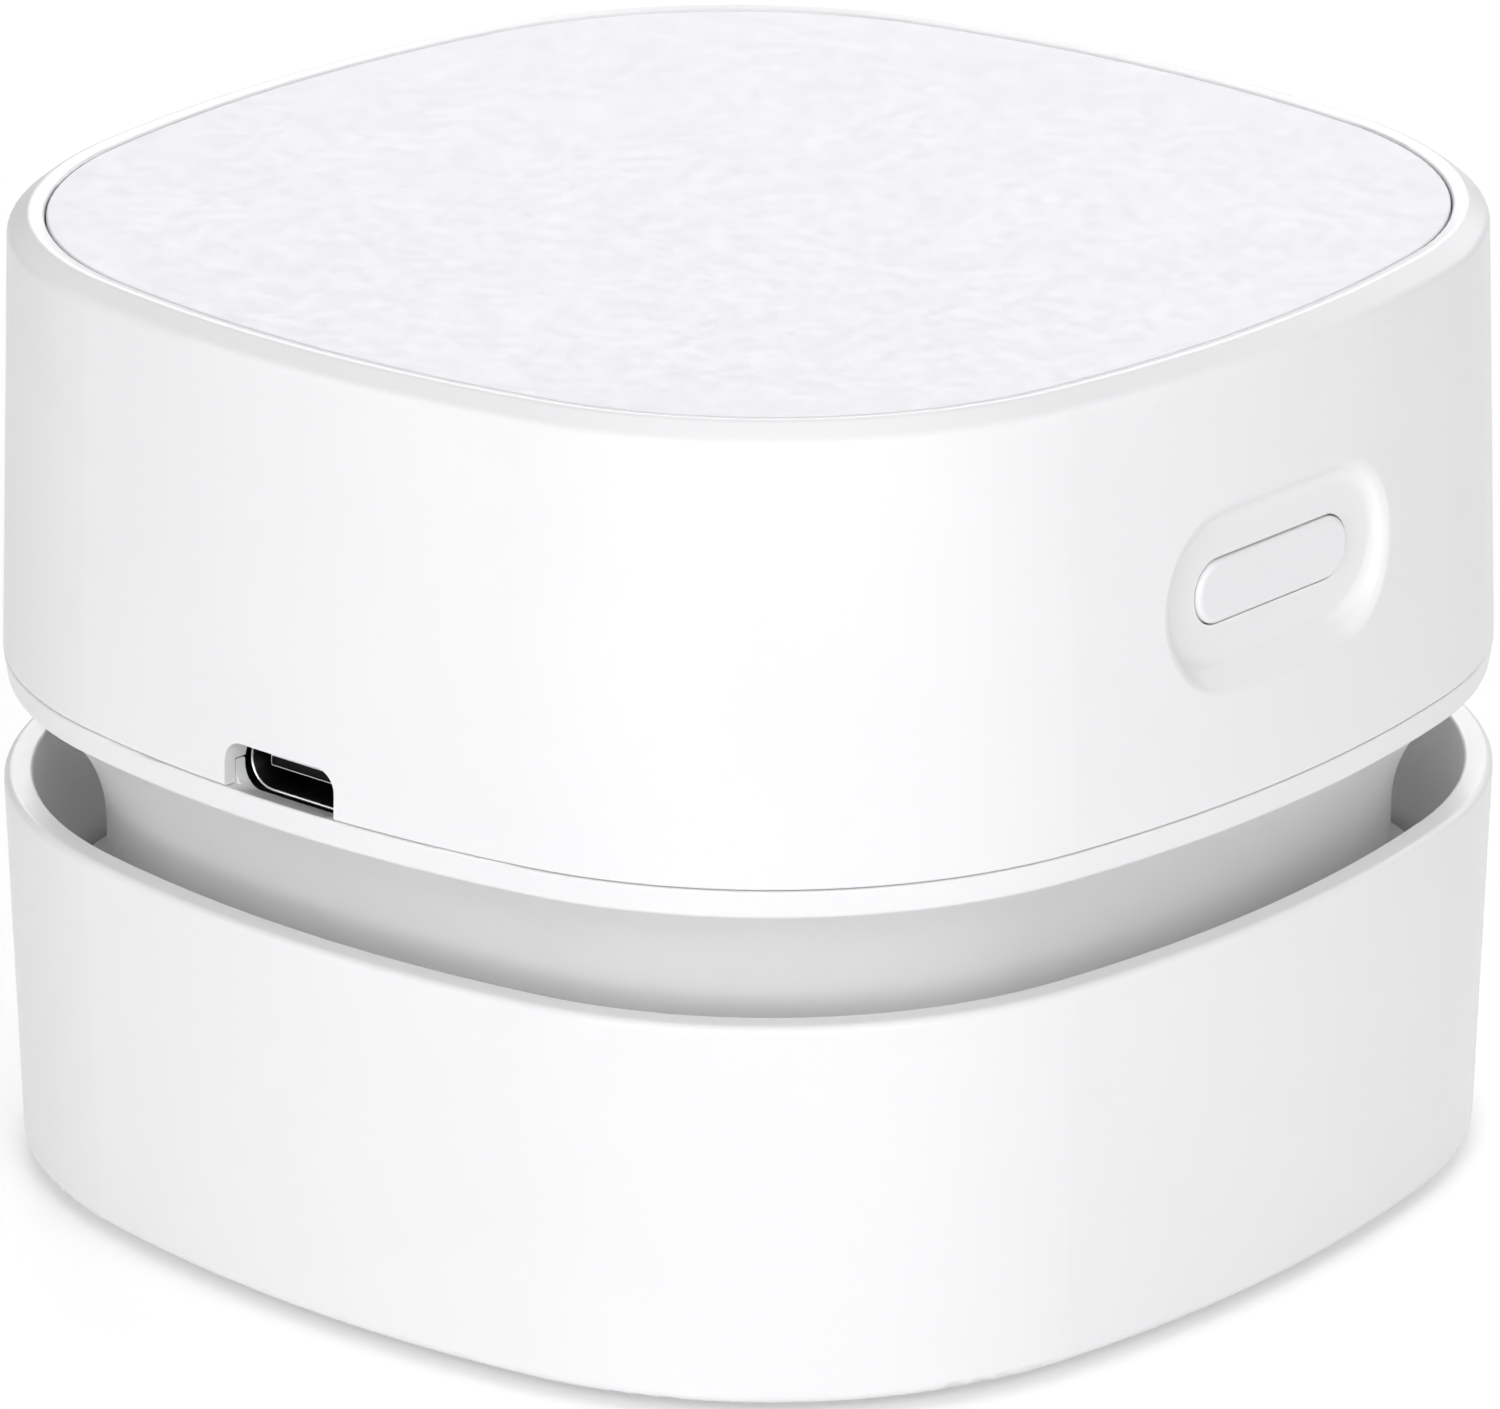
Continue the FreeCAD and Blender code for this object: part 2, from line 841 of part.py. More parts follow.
def motor_can():
    body = rod(0, 0, motor_bottom, motor_top, motor_radius)
    boss_bottom = motor_bottom - motor_boss_height
    body = body.fuse(rod(0, 0, boss_bottom, motor_bottom, motor_boss_radius))
    inside = rod(0, 0, motor_bottom + motor_wall, motor_top + overshoot, motor_radius - motor_wall)
    body = body.cut(inside)
    body = body.cut(rod(0, 0, boss_bottom - overshoot, motor_bottom + bush_length, bush_radius))
    for side in (-1, 1):
        x = side * motor_screw_circle
        body = body.cut(hole(x, 0, motor_bottom, motor_bottom + motor_wall, motor_screw["shank"]))
    return body


def motor_end_cap():
    body = rod(0, 0, motor_top, end_cap_top, motor_radius)
    body = body.fuse(rod(0, 0, end_cap_top, end_cap_top + motor_boss_height, motor_boss_radius))
    spigot_radius = motor_radius - motor_wall - running_gap
    body = body.fuse(
        tube(0, 0, motor_top - spigot_length, motor_top, spigot_radius - spigot_wall, spigot_radius)
    )
    return body.cut(hole(0, 0, motor_top, end_cap_top + motor_boss_height, bush_radius))


def motor_bushes():
    lower = tube(
        0, 0, motor_bottom - motor_boss_height, motor_bottom - motor_boss_height + bush_length,
        shaft_radius + running_gap, bush_radius,
    )
    upper_top = end_cap_top + motor_boss_height
    upper = tube(
        0, 0, upper_top - bush_length, upper_top, shaft_radius + running_gap, bush_radius
    )
    return Part.makeCompound([lower, upper])


def motor_magnets():
    bottom = motor_bottom + magnet_lift
    outer = motor_radius - motor_wall
    magnets = []
    for facing in (0, 180):
        section = Part.Face(Part.makePolygon([
            V(outer - magnet_thickness, 0, bottom),
            V(outer, 0, bottom),
            V(outer, 0, magnet_top),
            V(outer - magnet_thickness, 0, magnet_top),
            V(outer - magnet_thickness, 0, bottom),
        ]))
        magnet = section.revolve(V(), UP, magnet_degrees)
        magnet.rotate(V(), UP, facing - magnet_degrees / 2 + 90)
        magnets.append(magnet)
    return Part.makeCompound(magnets)


def motor_terminals():
    middle = (motor_top + end_cap_top) / 2
    tabs = []
    for side in (-1, 1):
        y = side * terminal_spread
        tab = block(
            (-motor_radius - terminal_reach, y - terminal_width / 2, middle - terminal_thickness / 2),
            (0, y + terminal_width / 2, middle + terminal_thickness / 2),
        )
        tabs.append(tab.cut(rod(0, 0, motor_top, end_cap_top, motor_radius)))
    return Part.makeCompound(tabs)


def motor_screws():
    return Part.makeCompound([
        screw(V(side * motor_screw_circle, 0, 0), deck_bottom, motor_screw_length, motor_screw)
        for side in (-1, 1)
    ])


# ---- rotor: everything that spins ----
impeller_bottom = floor_top + impeller_lift
impeller_top = impeller_bottom + blade_height + impeller_disc
shaft_top = end_cap_top + motor_boss_height


def motor_shaft():
    return rod(0, 0, impeller_bottom + 0.6, shaft_top, shaft_radius)


def impeller():
    """Back disc and hub with backward-curved blades hanging below the disc."""
    disc_bottom = impeller_bottom + blade_height
    body = rod(0, 0, disc_bottom, impeller_top, impeller_radius)
    body = body.fuse(rod(0, 0, impeller_bottom, impeller_top, hub_radius))
    bend = Part.Circle(
        turned(blade_root, 0),
        turned((blade_root + impeller_radius) / 2, blade_wrap * blade_sweep),
        turned(impeller_radius, blade_wrap),
    )
    half = blade_thickness / 2
    middle = bend.Center
    sleeve = tube(
        middle.x, middle.y, impeller_bottom, disc_bottom, bend.Radius - half, bend.Radius + half
    )
    track = tube(0, 0, impeller_bottom, disc_bottom, blade_root, impeller_radius)
    section = Part.Face(Part.makePolygon([
        V(0, 0, impeller_bottom),
        V(2 * impeller_radius, 0, impeller_bottom),
        V(2 * impeller_radius, 0, disc_bottom),
        V(0, 0, disc_bottom),
        V(0, 0, impeller_bottom),
    ]))
    sector = section.revolve(V(), UP, 1.5 * blade_wrap)
    sector.rotate(V(), UP, -blade_wrap / 4)
    blade = sleeve.common(track).common(sector)
    for index in range(blade_count):
        copy = blade.copy()
        copy.rotate(V(), UP, 360.0 * index / blade_count)
        body = body.fuse(copy)
    return body.cut(hole(0, 0, impeller_bottom, impeller_top, shaft_radius)).removeSplitter()


def armature_pole(reach):
    """One straight pole of the iron core, along +X."""
    return block((0, -pole_width / 2, armature_bottom), (reach, pole_width / 2, armature_top))


def armature_core():
    shoe_inside = armature_radius - pole_shoe
    body = rod(0, 0, armature_bottom, armature_top, core_hub_radius)
    wedge = block(
        (0, -shoe_half_width, armature_bottom), (armature_radius, shoe_half_width, armature_top)
    )
    shoe = tube(0, 0, armature_bottom, armature_top, shoe_inside, armature_radius).common(wedge)
    for index in range(3):
        arm = armature_pole(shoe_inside + pole_shoe / 2).fuse(shoe)
        arm.rotate(V(), UP, 120.0 * index)
        body = body.fuse(arm)
    return body.cut(hole(0, 0, armature_bottom, armature_top, shaft_radius)).removeSplitter()


def armature_windings():
    bottom = armature_bottom - winding_overhang
    top = armature_top + winding_overhang
    inner = core_hub_radius + coil_gap
    room = armature_radius - pole_shoe - coil_gap
    outer = math.sqrt(room ** 2 - (coil_width / 2) ** 2)
    coils = []
    for index in range(3):
        coil = block((inner, -coil_width / 2, bottom), (outer, coil_width / 2, top))
        coil = coil.cut(armature_pole(armature_radius))
        coil.rotate(V(), UP, 120.0 * index)
        coils.append(coil)
    return Part.makeCompound(coils)


def commutator():
    bottom = armature_top + winding_overhang + commutator_gap
    return tube(0, 0, bottom, bottom + commutator_length, shaft_radius, commutator_radius)


# ---- upper shell ----
def shell_wall_ring():
    roof_half = wall_half(roof_bottom) - shell_wall
    inner_bottom = half_width - shell_wall
    step_top = seam + lip_height + lip_play
    shoulder_half = half_width - shell_draft
    return ring([
        (half_width, seam, sharp_break),
        (shoulder_half, crest - shoulder_height, shoulder_round),
        (shoulder_half - shoulder_width, crest, crest_round),
        (panel_half, crest - lip_drop, lip_round),
        (panel_half, roof_top, 0),
        (panel_half - overshoot, roof_top, 0),
        (panel_half - overshoot, roof_bottom, 0),
        (roof_half, roof_bottom, roof_root_round),
        (inner_bottom, step_top, 0),
        (lip_outer + lip_play, step_top, 0),
        (lip_outer + lip_play, seam, 0),
    ])


def dish_floor():
    return -wall_half(button_level) + dish_depth


def pad_back_face():
    return dish_floor() + pad_thickness


def push_face():
    """Back of the button's pushing boss, where the switch stem begins."""
    return pad_back_face() + stop_gap + button_flange_thickness + push_boss_length


def switch_front():
    return push_face() + stem_reach


def switch_board_face():
    return switch_front() + switch_depth


def button_dish():
    """Shallow recess round the button, with sides that slope at 45 degrees."""
    floor = dish_floor()
    reach = dish_depth + overshoot
    wide = pill_wire(dish_length + 2 * reach, dish_height + 2 * reach, floor - reach, button_level)
    narrow = pill_wire(dish_length, dish_height, floor, button_level)
    return Part.makeLoft([wide, narrow], True, True)


def soften_dish(body):
    """Round the recess: a fillet inside at its floor, a softer one at its lip."""
    floor = dish_floor()
    reach = 2 * dish_depth
    inner = []
    outer = []
    for edge in body.Edges:
        box = edge.BoundBox
        reach_x = max(abs(box.XMin), abs(box.XMax)) - dish_length / 2
        reach_z = max(abs(box.ZMin - button_level), abs(box.ZMax - button_level)) - dish_height / 2
        if box.YMax > floor + end_flat or max(reach_x, reach_z) > reach:
            continue
        if box.YMin > floor - end_flat:
            inner.append(edge)
        elif box.YMax < floor - dish_depth / 4:
            outer.append(edge)
    return body.makeFillet(dish_floor_round, inner).makeFillet(dish_edge_round, outer)


def button_pad():
    """Thickened wall behind the dish, which guides the button and stops its flange."""
    floor = dish_floor()
    pad = pill(
        dish_length + 2 * pad_margin, dish_height + 2 * pad_margin,
        floor - dish_depth / 2, pad_back_face(), button_level,
    )
    return pad.common(plate(half_width - shell_wall / 2, seam, roof_bottom))


def motor_socket():
    """Ring under the roof that holds the motor's upper end, open where its terminals pass."""
    holder = tube(
        0, 0, end_cap_top - motor_grip, roof_top - overlap,
        motor_radius + running_gap, motor_radius + motor_ring_wall,
    )
    half = terminal_spread + terminal_width / 2 + terminal_slot_room
    window = block(
        (-2 * motor_radius, -half, end_cap_top - motor_grip - overshoot), (0, half, end_cap_top)
    )
    return holder.cut(window)


def switch_guides():
    """Two ribs whose slots hold the switch board by its edges."""
    board_half = switch_board_width / 2
    low = button_level - switch_board_height / 2
    high = button_level + switch_board_height / 2
    face = switch_board_face()
    back = face + board_thickness
    ribs = []
    for side in (-1, 1):
        edges = sorted((side * (board_half - guide_grip), side * (board_half + guide_width)))
        ribs.append(block(
            (edges[0], -half_width, low - guide_width), (edges[1], back + guide_cheek, roof_top - overlap)
        ))
    board_room = block(
        (-board_half - hairline, face, low), (board_half + hairline, back + hairline, high + hairline)
    )
    flange_end = button_length / 2 + button_flange + flange_room
    button_room = block(
        (-flange_end, pad_back_face(), low - guide_width), (flange_end, face, high)
    )
    walls = plate(half_width - shell_wall / 2, seam, roof_top)
    return Part.makeCompound(ribs).common(walls).cut(board_room).cut(button_room)


def socket_clearance():
    """Room for the socket's metal shell behind its pocket."""
    mouth = socket_mouth()
    return pill(
        socket_width + 2 * hairline, socket_height + 2 * hairline,
        mouth - overlap, mouth + socket_depth, socket_level, "x",
    )


def upper_shell():
    body = shell_wall_ring().fuse(plate(panel_half - overlap, roof_bottom, roof_top))
    body = body.fuse(button_pad()).fuse(motor_socket())
    for spot in column_spots:
        body = body.fuse(rod(spot.x, spot.y, column_bottom, roof_top - overlap, column_radius))
    for rib in switch_guides().Solids:
        body = body.fuse(rib)
    body = body.cut(button_dish())
    thread_top = filter_top + head_screw_pocket + head_screw_length
    for spot in column_spots:
        body = body.cut(rod(spot.x, spot.y, column_bottom - overshoot, thread_top, head_screw["shank"]))
    body = soften_dish(body)
    opening = pill(
        button_length + 2 * button_gap, button_height + 2 * button_gap,
        dish_floor() - overshoot, pad_back_face() + overshoot, button_level,
    )
    return body.cut(opening).cut(socket_pocket(True)).cut(socket_clearance()).removeSplitter()


def top_panel():
    half = panel_half - seat_gap
    edge = ring([
        (half, panel_bottom, 0),
        (half, panel_top, sharp_break),
        (half - 2 * overshoot, panel_top, 0),
        (half - 2 * overshoot, panel_bottom, 0),
    ])
    return edge.fuse(plate(half - overshoot, panel_bottom, panel_top)).removeSplitter()


def panel_tape():
    return plate(panel_half - tape_inset, roof_top, panel_bottom)


# ---- power button and its switch ----
def button_cap():
    front = dish_floor() - button_proud
    flange_front = pad_back_face() + stop_gap
    flange_back = flange_front + button_flange_thickness
    cap = pill(button_length, button_height, front, flange_back, button_level)
    rim = [edge for edge in cap.Edges if edge.BoundBox.YMax < front + 1e-6]
    cap = cap.makeFillet(button_round, rim)
    flange = pill(
        button_length + 2 * button_flange, button_height + 2 * button_flange,
        flange_front, flange_back, button_level,
    )
    boss = Part.makeCylinder(
        push_boss_radius, push_boss_length, V(0, flange_back, button_level), V(0, 1, 0)
    )
    return cap.fuse(flange).fuse(boss).removeSplitter()


def switch_stem():
    return Part.makeCylinder(stem_radius, stem_length, V(0, push_face(), button_level), V(0, 1, 0))


def switch_body():
    half = switch_size / 2
    front = switch_front()
    body = block((-half, front, button_level - half), (half, switch_board_face(), button_level + half))
    depth = stem_length - stem_reach + button_travel + stem_clearance
    bore = Part.makeCylinder(
        stem_radius + stem_play, depth + overshoot, V(0, front - overshoot, button_level), V(0, 1, 0)
    )
    return body.cut(bore)


def switch_board():
    half = switch_board_width / 2
    rise = switch_board_height / 2
    face = switch_board_face()
    return block((-half, face, button_level - rise), (half, face + board_thickness, button_level + rise))


# ---- charging socket and main board ----
def usb_socket_shell():
    mouth = socket_mouth()
    back = mouth + socket_depth
    outer = pill(socket_width, socket_height, mouth, back, socket_level, "x")
    inner = pill(
        socket_width - 2 * socket_wall, socket_height - 2 * socket_wall,
        mouth - overshoot, back - socket_wall, socket_level, "x",
    )
    return outer.cut(inner)


def usb_socket_tongue():
    back = socket_mouth() + socket_depth - socket_wall
    root = back - socket_base_depth
    base = pill(
        socket_width - 2 * socket_wall, socket_height - 2 * socket_wall, root, back, socket_level, "x"
    )
    tongue = block(
        (root - tongue_length, -tongue_width / 2, socket_level - tongue_thickness / 2),
        (root + overlap, tongue_width / 2, socket_level + tongue_thickness / 2),
    )
    return base.fuse(tongue).removeSplitter()


def main_board():
    body = block(
        (-board_outer_edge, -board_half_length, board_bottom),
        (-board_inner_edge, board_half_length, board_top),
    )
    for spot in standoff_spots:
        body = body.cut(hole(spot.x, spot.y, board_bottom, board_top, board_screw["shank"]))
    return body


def board_chips():
    """Charger chip, driver chip, coil and capacitor on the board's upper face."""
    middle = -(board_outer_edge + board_inner_edge) / 2
    bodies = []
    for across, y, length, width, height in board_parts:
        x = middle + across
        low = (x - length / 2, y - width / 2, board_top)
        high = (x + length / 2, y + width / 2, board_top + height)
        bodies.append(block(low, high))
    return Part.makeCompound(bodies)


def board_screws():
    return Part.makeCompound([
        screw(spot, board_top, board_screw_length, board_screw, upward=-1) for spot in standoff_spots
    ])


def head_screws():
    seat = filter_top + head_screw_pocket
    return Part.makeCompound([
        screw(spot, seat, head_screw_length, head_screw) for spot in column_spots
    ])


# ---- battery ----
def battery_cell():
    cell = Part.makeCylinder(
        cell_radius, cell_length, V(-cell_length / 2, cell_offset, cell_level), V(1, 0, 0)
    )
    rims = [edge for edge in cell.Edges if edge.BoundBox.XLength < 1e-6]
    return cell.makeFillet(cell_edge_round, rims)


def battery_tabs():
    tabs = []
    for side in (-1, 1):
        near = side * cell_length / 2
        far = near + side * tab_thickness
        tabs.append(block(
            (min(near, far), cell_offset - tab_length / 2, cell_level - tab_width / 2),
            (max(near, far), cell_offset + tab_length / 2, cell_level + tab_width / 2),
        ))
    return Part.makeCompound(tabs)


# ---- wiring ----
lead_column = -board_inner_edge - lead_inset


def motor_leads():
    middle = (motor_top + end_cap_top) / 2
    start = -motor_radius - terminal_reach
    return Part.makeCompound([
        wire_run([
            (start, side * terminal_spread, middle),
            (lead_column, side * terminal_spread, middle),
            (lead_column, side * terminal_spread, board_top),
        ])
        for side in (-1, 1)
    ])


def battery_leads():
    end = cell_length / 2 + tab_thickness
    over = cell_level + cell_radius + wire_radius + lead_clearance
    y = cell_offset - tab_length / 2 + wire_radius
    out = end + wire_bend + wire_radius
    landing = board_half_length - near_lead_landing
    near_lead = wire_run([
        (-end, y, cell_level),
        (-out, y, cell_level),
        (-out, landing, cell_level),
        (-out, landing, board_top),
    ])
    landing = board_half_length - far_lead_landing
    far_lead = wire_run([
        (end, y, cell_level),
        (out, y, cell_level),
        (out, y, over),
        (-out, y, over),
        (-out, landing, over),
        (-out, landing, board_top),
    ])
    return Part.makeCompound([near_lead, far_lead])


def switch_leads():
    back = switch_board_face() + board_thickness
    low = button_level - switch_board_height / 4
    landing = -board_half_length + near_lead_landing
    leads = []
    for index, side in enumerate((-1, 1)):
        y = back + guide_cheek + switch_lead_pitch * (index + 1)
        x = -board_inner_edge - 2 * wire_radius - switch_lead_pitch * index
        level = low - switch_lead_pitch * index
        leads.append(wire_run([
            (side * switch_lead_spread, back, level),
            (side * switch_lead_spread, y, level),
            (x, y, level),
            (x, landing, level),
            (x, landing, board_top),
        ]))
    return Part.makeCompound(leads)


pieces = {
    "dust_cup": dust_cup,
    "base_plate": base_plate,
    "brush_strips": brush_strips,
    "base_screws": base_screws,
    "filter_frame": filter_frame,
    "filter_mesh": filter_mesh,
    "filter_foam": filter_foam,
    "filter_gasket": filter_gasket,
    "lower_cover": lower_cover,
    "neck_seal": neck_seal,
    "fan_deck": fan_deck,
    "motor_damper": motor_damper,
    "motor_can": motor_can,
    "motor_end_cap": motor_end_cap,
    "motor_bushes": motor_bushes,
    "motor_magnets": motor_magnets,
    "motor_terminals": motor_terminals,
    "motor_screws": motor_screws,
    "motor_shaft": motor_shaft,
    "impeller": impeller,
    "armature_core": armature_core,
    "armature_windings": armature_windings,
    "commutator": commutator,
    "upper_shell": upper_shell,
    "top_panel": top_panel,
    "panel_tape": panel_tape,
    "head_screws": head_screws,
    "button_cap": button_cap,
    "switch_stem": switch_stem,
    "switch_body": switch_body,
    "switch_board": switch_board,
    "main_board": main_board,
    "board_chips": board_chips,
    "board_screws": board_screws,
    "usb_socket_shell": usb_socket_shell,
    "usb_socket_tongue": usb_socket_tongue,
    "battery_cell": battery_cell,
    "battery_tabs": battery_tabs,
    "battery_leads": battery_leads,
    "motor_leads": motor_leads,
    "switch_leads": switch_leads,
}

os.makedirs("parts", exist_ok=True)
for name, make in pieces.items():
    shape = make()
    solids = shape.Solids
    for solid in solids:
        if not solid.isValid():
            print("not valid:", name)
    print(name, len(solids), round(shape.Volume, 2))
    shape.exportStep("parts/" + name + ".step")
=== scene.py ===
import bpy
import bmesh
import math
import random
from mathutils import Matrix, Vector


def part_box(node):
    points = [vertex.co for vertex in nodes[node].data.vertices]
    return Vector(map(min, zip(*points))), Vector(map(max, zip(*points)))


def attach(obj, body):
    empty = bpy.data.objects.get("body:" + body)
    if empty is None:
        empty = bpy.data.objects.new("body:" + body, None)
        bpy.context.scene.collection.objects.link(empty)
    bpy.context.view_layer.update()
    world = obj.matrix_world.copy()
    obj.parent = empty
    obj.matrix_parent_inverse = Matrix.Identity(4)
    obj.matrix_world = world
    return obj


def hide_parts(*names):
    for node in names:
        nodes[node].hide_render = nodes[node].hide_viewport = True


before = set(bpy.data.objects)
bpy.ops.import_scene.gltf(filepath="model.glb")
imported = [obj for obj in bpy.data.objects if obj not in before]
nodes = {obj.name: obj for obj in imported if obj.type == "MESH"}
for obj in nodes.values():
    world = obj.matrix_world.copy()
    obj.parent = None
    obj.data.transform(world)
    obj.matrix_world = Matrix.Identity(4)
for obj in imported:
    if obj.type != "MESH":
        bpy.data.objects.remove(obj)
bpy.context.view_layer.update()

# ---- dust cup ----
# The lower housing: one moulding of white styrene plastic with a fine satin finish. It has a flared
# wall and a thin rolled rim, and its ledge inside carries the filter.


def start_material(name, colour, roughness, metallic=0.0, specular=0.5):
    """An empty material with one shader whose plain values are set on its own sockets."""
    material = bpy.data.materials.new(name)
    material.use_nodes = True
    shader = material.node_tree.nodes["Principled BSDF"]
    shader.inputs["Base Color"].default_value = (*colour, 1)
    shader.inputs["Roughness"].default_value = roughness
    shader.inputs["Metallic"].default_value = metallic
    shader.inputs["Specular IOR Level"].default_value = specular
    return material, material.node_tree.nodes, material.node_tree.links, shader


def place_on_piece(material_nodes, links, stretch=(1, 1, 1)):
    """Coordinates that stay with the piece, in metres, stretched along its axes."""
    where = material_nodes.new("ShaderNodeTexCoord")
    scaled = material_nodes.new("ShaderNodeMapping")
    scaled.inputs["Scale"].default_value = stretch
    links.new(where.outputs["Object"], scaled.inputs["Vector"])
    return scaled.outputs["Vector"]


def speckle(material_nodes, links, vector, size, detail=3.0, roughness=0.55):
    """Noise whose grains are about that size in metres."""
    noise = material_nodes.new("ShaderNodeTexNoise")
    noise.inputs["Scale"].default_value = 1.0 / size
    noise.inputs["Detail"].default_value = detail
    noise.inputs["Roughness"].default_value = roughness
    links.new(vector, noise.inputs["Vector"])
    return noise.outputs["Fac"]


def shade_between(material_nodes, links, amount, dark, light, low=0.35, high=0.65):
    """Colour that runs from dark to light as the amount rises."""
    ramp = material_nodes.new("ShaderNodeValToRGB")
    ramp.color_ramp.elements[0].position = low
    ramp.color_ramp.elements[0].color = (*dark, 1)
    ramp.color_ramp.elements[1].position = high
    ramp.color_ramp.elements[1].color = (*light, 1)
    links.new(amount, ramp.inputs["Fac"])
    return ramp.outputs["Color"]


noise_low = 0.3
noise_high = 0.7


def spread(material_nodes, links, amount, low, high):
    """The amount, stretched to run from low to high."""
    span = material_nodes.new("ShaderNodeMapRange")
    span.inputs["From Min"].default_value = noise_low
    span.inputs["From Max"].default_value = noise_high
    span.inputs["To Min"].default_value = low
    span.inputs["To Max"].default_value = high
    links.new(amount, span.inputs["Value"])
    return span.outputs["Result"]


def raise_surface(material_nodes, links, shader, height, distance, strength=1.0, under=None):
    """Relief of that depth in metres on the shader, over any relief already there."""
    bump = material_nodes.new("ShaderNodeBump")
    bump.inputs["Distance"].default_value = distance
    bump.inputs["Strength"].default_value = strength
    links.new(height, bump.inputs["Height"])
    if under is not None:
        links.new(under, bump.inputs["Normal"])
    links.new(bump.outputs["Normal"], shader.inputs["Normal"])
    return bump.outputs["Normal"]


flow_size = 0.018
sheen_size = 0.0011
sink_size = 0.006
sink_depth = 0.00001


def moulded_plastic(name, light, dark, smooth, rough, grain, depth, specular=0.5):
    """Injection-moulded plastic: faint flow mottling, uneven sheen, and spark-eroded grain."""
    material, inside, links, shader = start_material(name, light, roughness=rough, specular=specular)
    vector = place_on_piece(inside, links)
    flow = speckle(inside, links, vector, flow_size, detail=2.0)
    links.new(shade_between(inside, links, flow, dark=dark, light=light), shader.inputs["Base Color"])
    sheen = speckle(inside, links, vector, sheen_size, detail=4.0)
    links.new(spread(inside, links, sheen, low=smooth, high=rough), shader.inputs["Roughness"])
    sinks = speckle(inside, links, vector, sink_size)
    sink = raise_surface(inside, links, shader, sinks, sink_depth, strength=0.5)
    pits = speckle(inside, links, vector, grain)
    raise_surface(inside, links, shader, pits, depth, under=sink)
    return material


def dress(material, *names):
    """Give CAD pieces one material."""
    for name in names:
        slots = nodes[name].data.materials
        slots.clear()
        slots.append(material)


shell_white = moulded_plastic(
    "shell_white", light=(0.882, 0.876, 0.874), dark=(0.868, 0.862, 0.861),
    smooth=0.30, rough=0.40, grain=0.00022, depth=0.0000012,
)
dress(shell_white, "dust_cup")

# ---- base plate ----
# The cup's floor, a separate white moulding let into its underside with the round suction mouth and
# the chimney that keeps the crumbs in. Four screws hold it. Its coarser grain hides scuffs.
base_white = moulded_plastic(
    "base_white", light=(0.80, 0.805, 0.82), dark=(0.77, 0.775, 0.79),
    smooth=0.46, rough=0.60, grain=0.00042, depth=0.000006,
)
dress(base_white, "base_plate")

# ---- brush strips ----
# Eight short strips of soft nylon bristle, set in tufts in a groove round the suction mouth. The
# tufts stand 0.8 mm below the cup, carry it over the table and sweep the crumbs inwards.
bristle_low, bristle_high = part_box("brush_strips")
strip_count = 8
strip_radius = bristle_high.x - 0.0013
strip_half_angle = math.radians(18.5)
spine_bottom = bristle_high.z - 0.0013
spine_top = bristle_high.z - 0.0001
spine_half_width = 0.00118
spine_bevel = 0.0002
spine_steps = 24
tuft_rows = (-0.00072, 0.0, 0.00072)
tufts_in_row = 19
row_shift = 0.25
planted_share = 0.965
tuft_radius = 0.00026
hairs_in_tuft = 9
hair_turn = 2.4
hair_radius = 0.000062
hair_sides = 4
hair_root = 0.0001
hair_thins = ((0.0, 1.0), (0.5, 1.0), (0.88, 0.85), (1.0, 0.3))
hair_curl = 1.7
thinnest = 0.85
thickest = 1.1
widest_spin = 1.5
row_splay = 0.16
tuft_splay = 0.00016
lean_out = 0.00013
lean_along = 0.00016
tip_gap = 0.00003
tip_wear = 0.00012
clump_size = 0.0007
nick_size = 0.00008
nick_depth = 0.00001
brush_seed = 41


def finish_mesh(name, mesh, material, body, smooth_angle=None):
    """Turn a closed bmesh into a piece that rides on a body, with its faces turned outwards."""
    bmesh.ops.recalc_face_normals(mesh, faces=mesh.faces)
    data = bpy.data.meshes.new(name)
    mesh.to_mesh(data)
    mesh.free()
    data.materials.append(material)
    if smooth_angle is not None:
        data.shade_smooth()
        data.set_sharp_from_angle(angle=math.radians(smooth_angle))
    piece = bpy.data.objects.new(name, data)
    bpy.context.scene.collection.objects.link(piece)
    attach(piece, body)
    return piece


def loft(mesh, rings, cap_first=False, cap_last=False):
    """Skin a list of closed rings of points, each with as many points."""
    corners = [[mesh.verts.new(point) for point in ring] for ring in rings]
    count = len(rings[0])
    for lower, upper in zip(corners, corners[1:]):
        for index in range(count):
            after = (index + 1) % count
            mesh.faces.new((lower[index], lower[after], upper[after], upper[index]))
    if cap_first:
        mesh.faces.new(list(reversed(corners[0])))
    if cap_last:
        mesh.faces.new(corners[-1])


bristle_nylon, inside, links, shader = start_material("nylon_bristle", (0.78, 0.79, 0.81), roughness=0.34)
shader.inputs["Subsurface Weight"].default_value = 0.15
shader.inputs["Subsurface Radius"].default_value = (0.0004, 0.0004, 0.0004)
vector = place_on_piece(inside, links)
clump = speckle(inside, links, vector, clump_size, detail=2.0)
links.new(
    shade_between(inside, links, clump, dark=(0.60, 0.61, 0.64), light=(0.86, 0.87, 0.88)),
    shader.inputs["Base Color"],
)
raise_surface(inside, links, shader, speckle(inside, links, vector, nick_size), nick_depth)

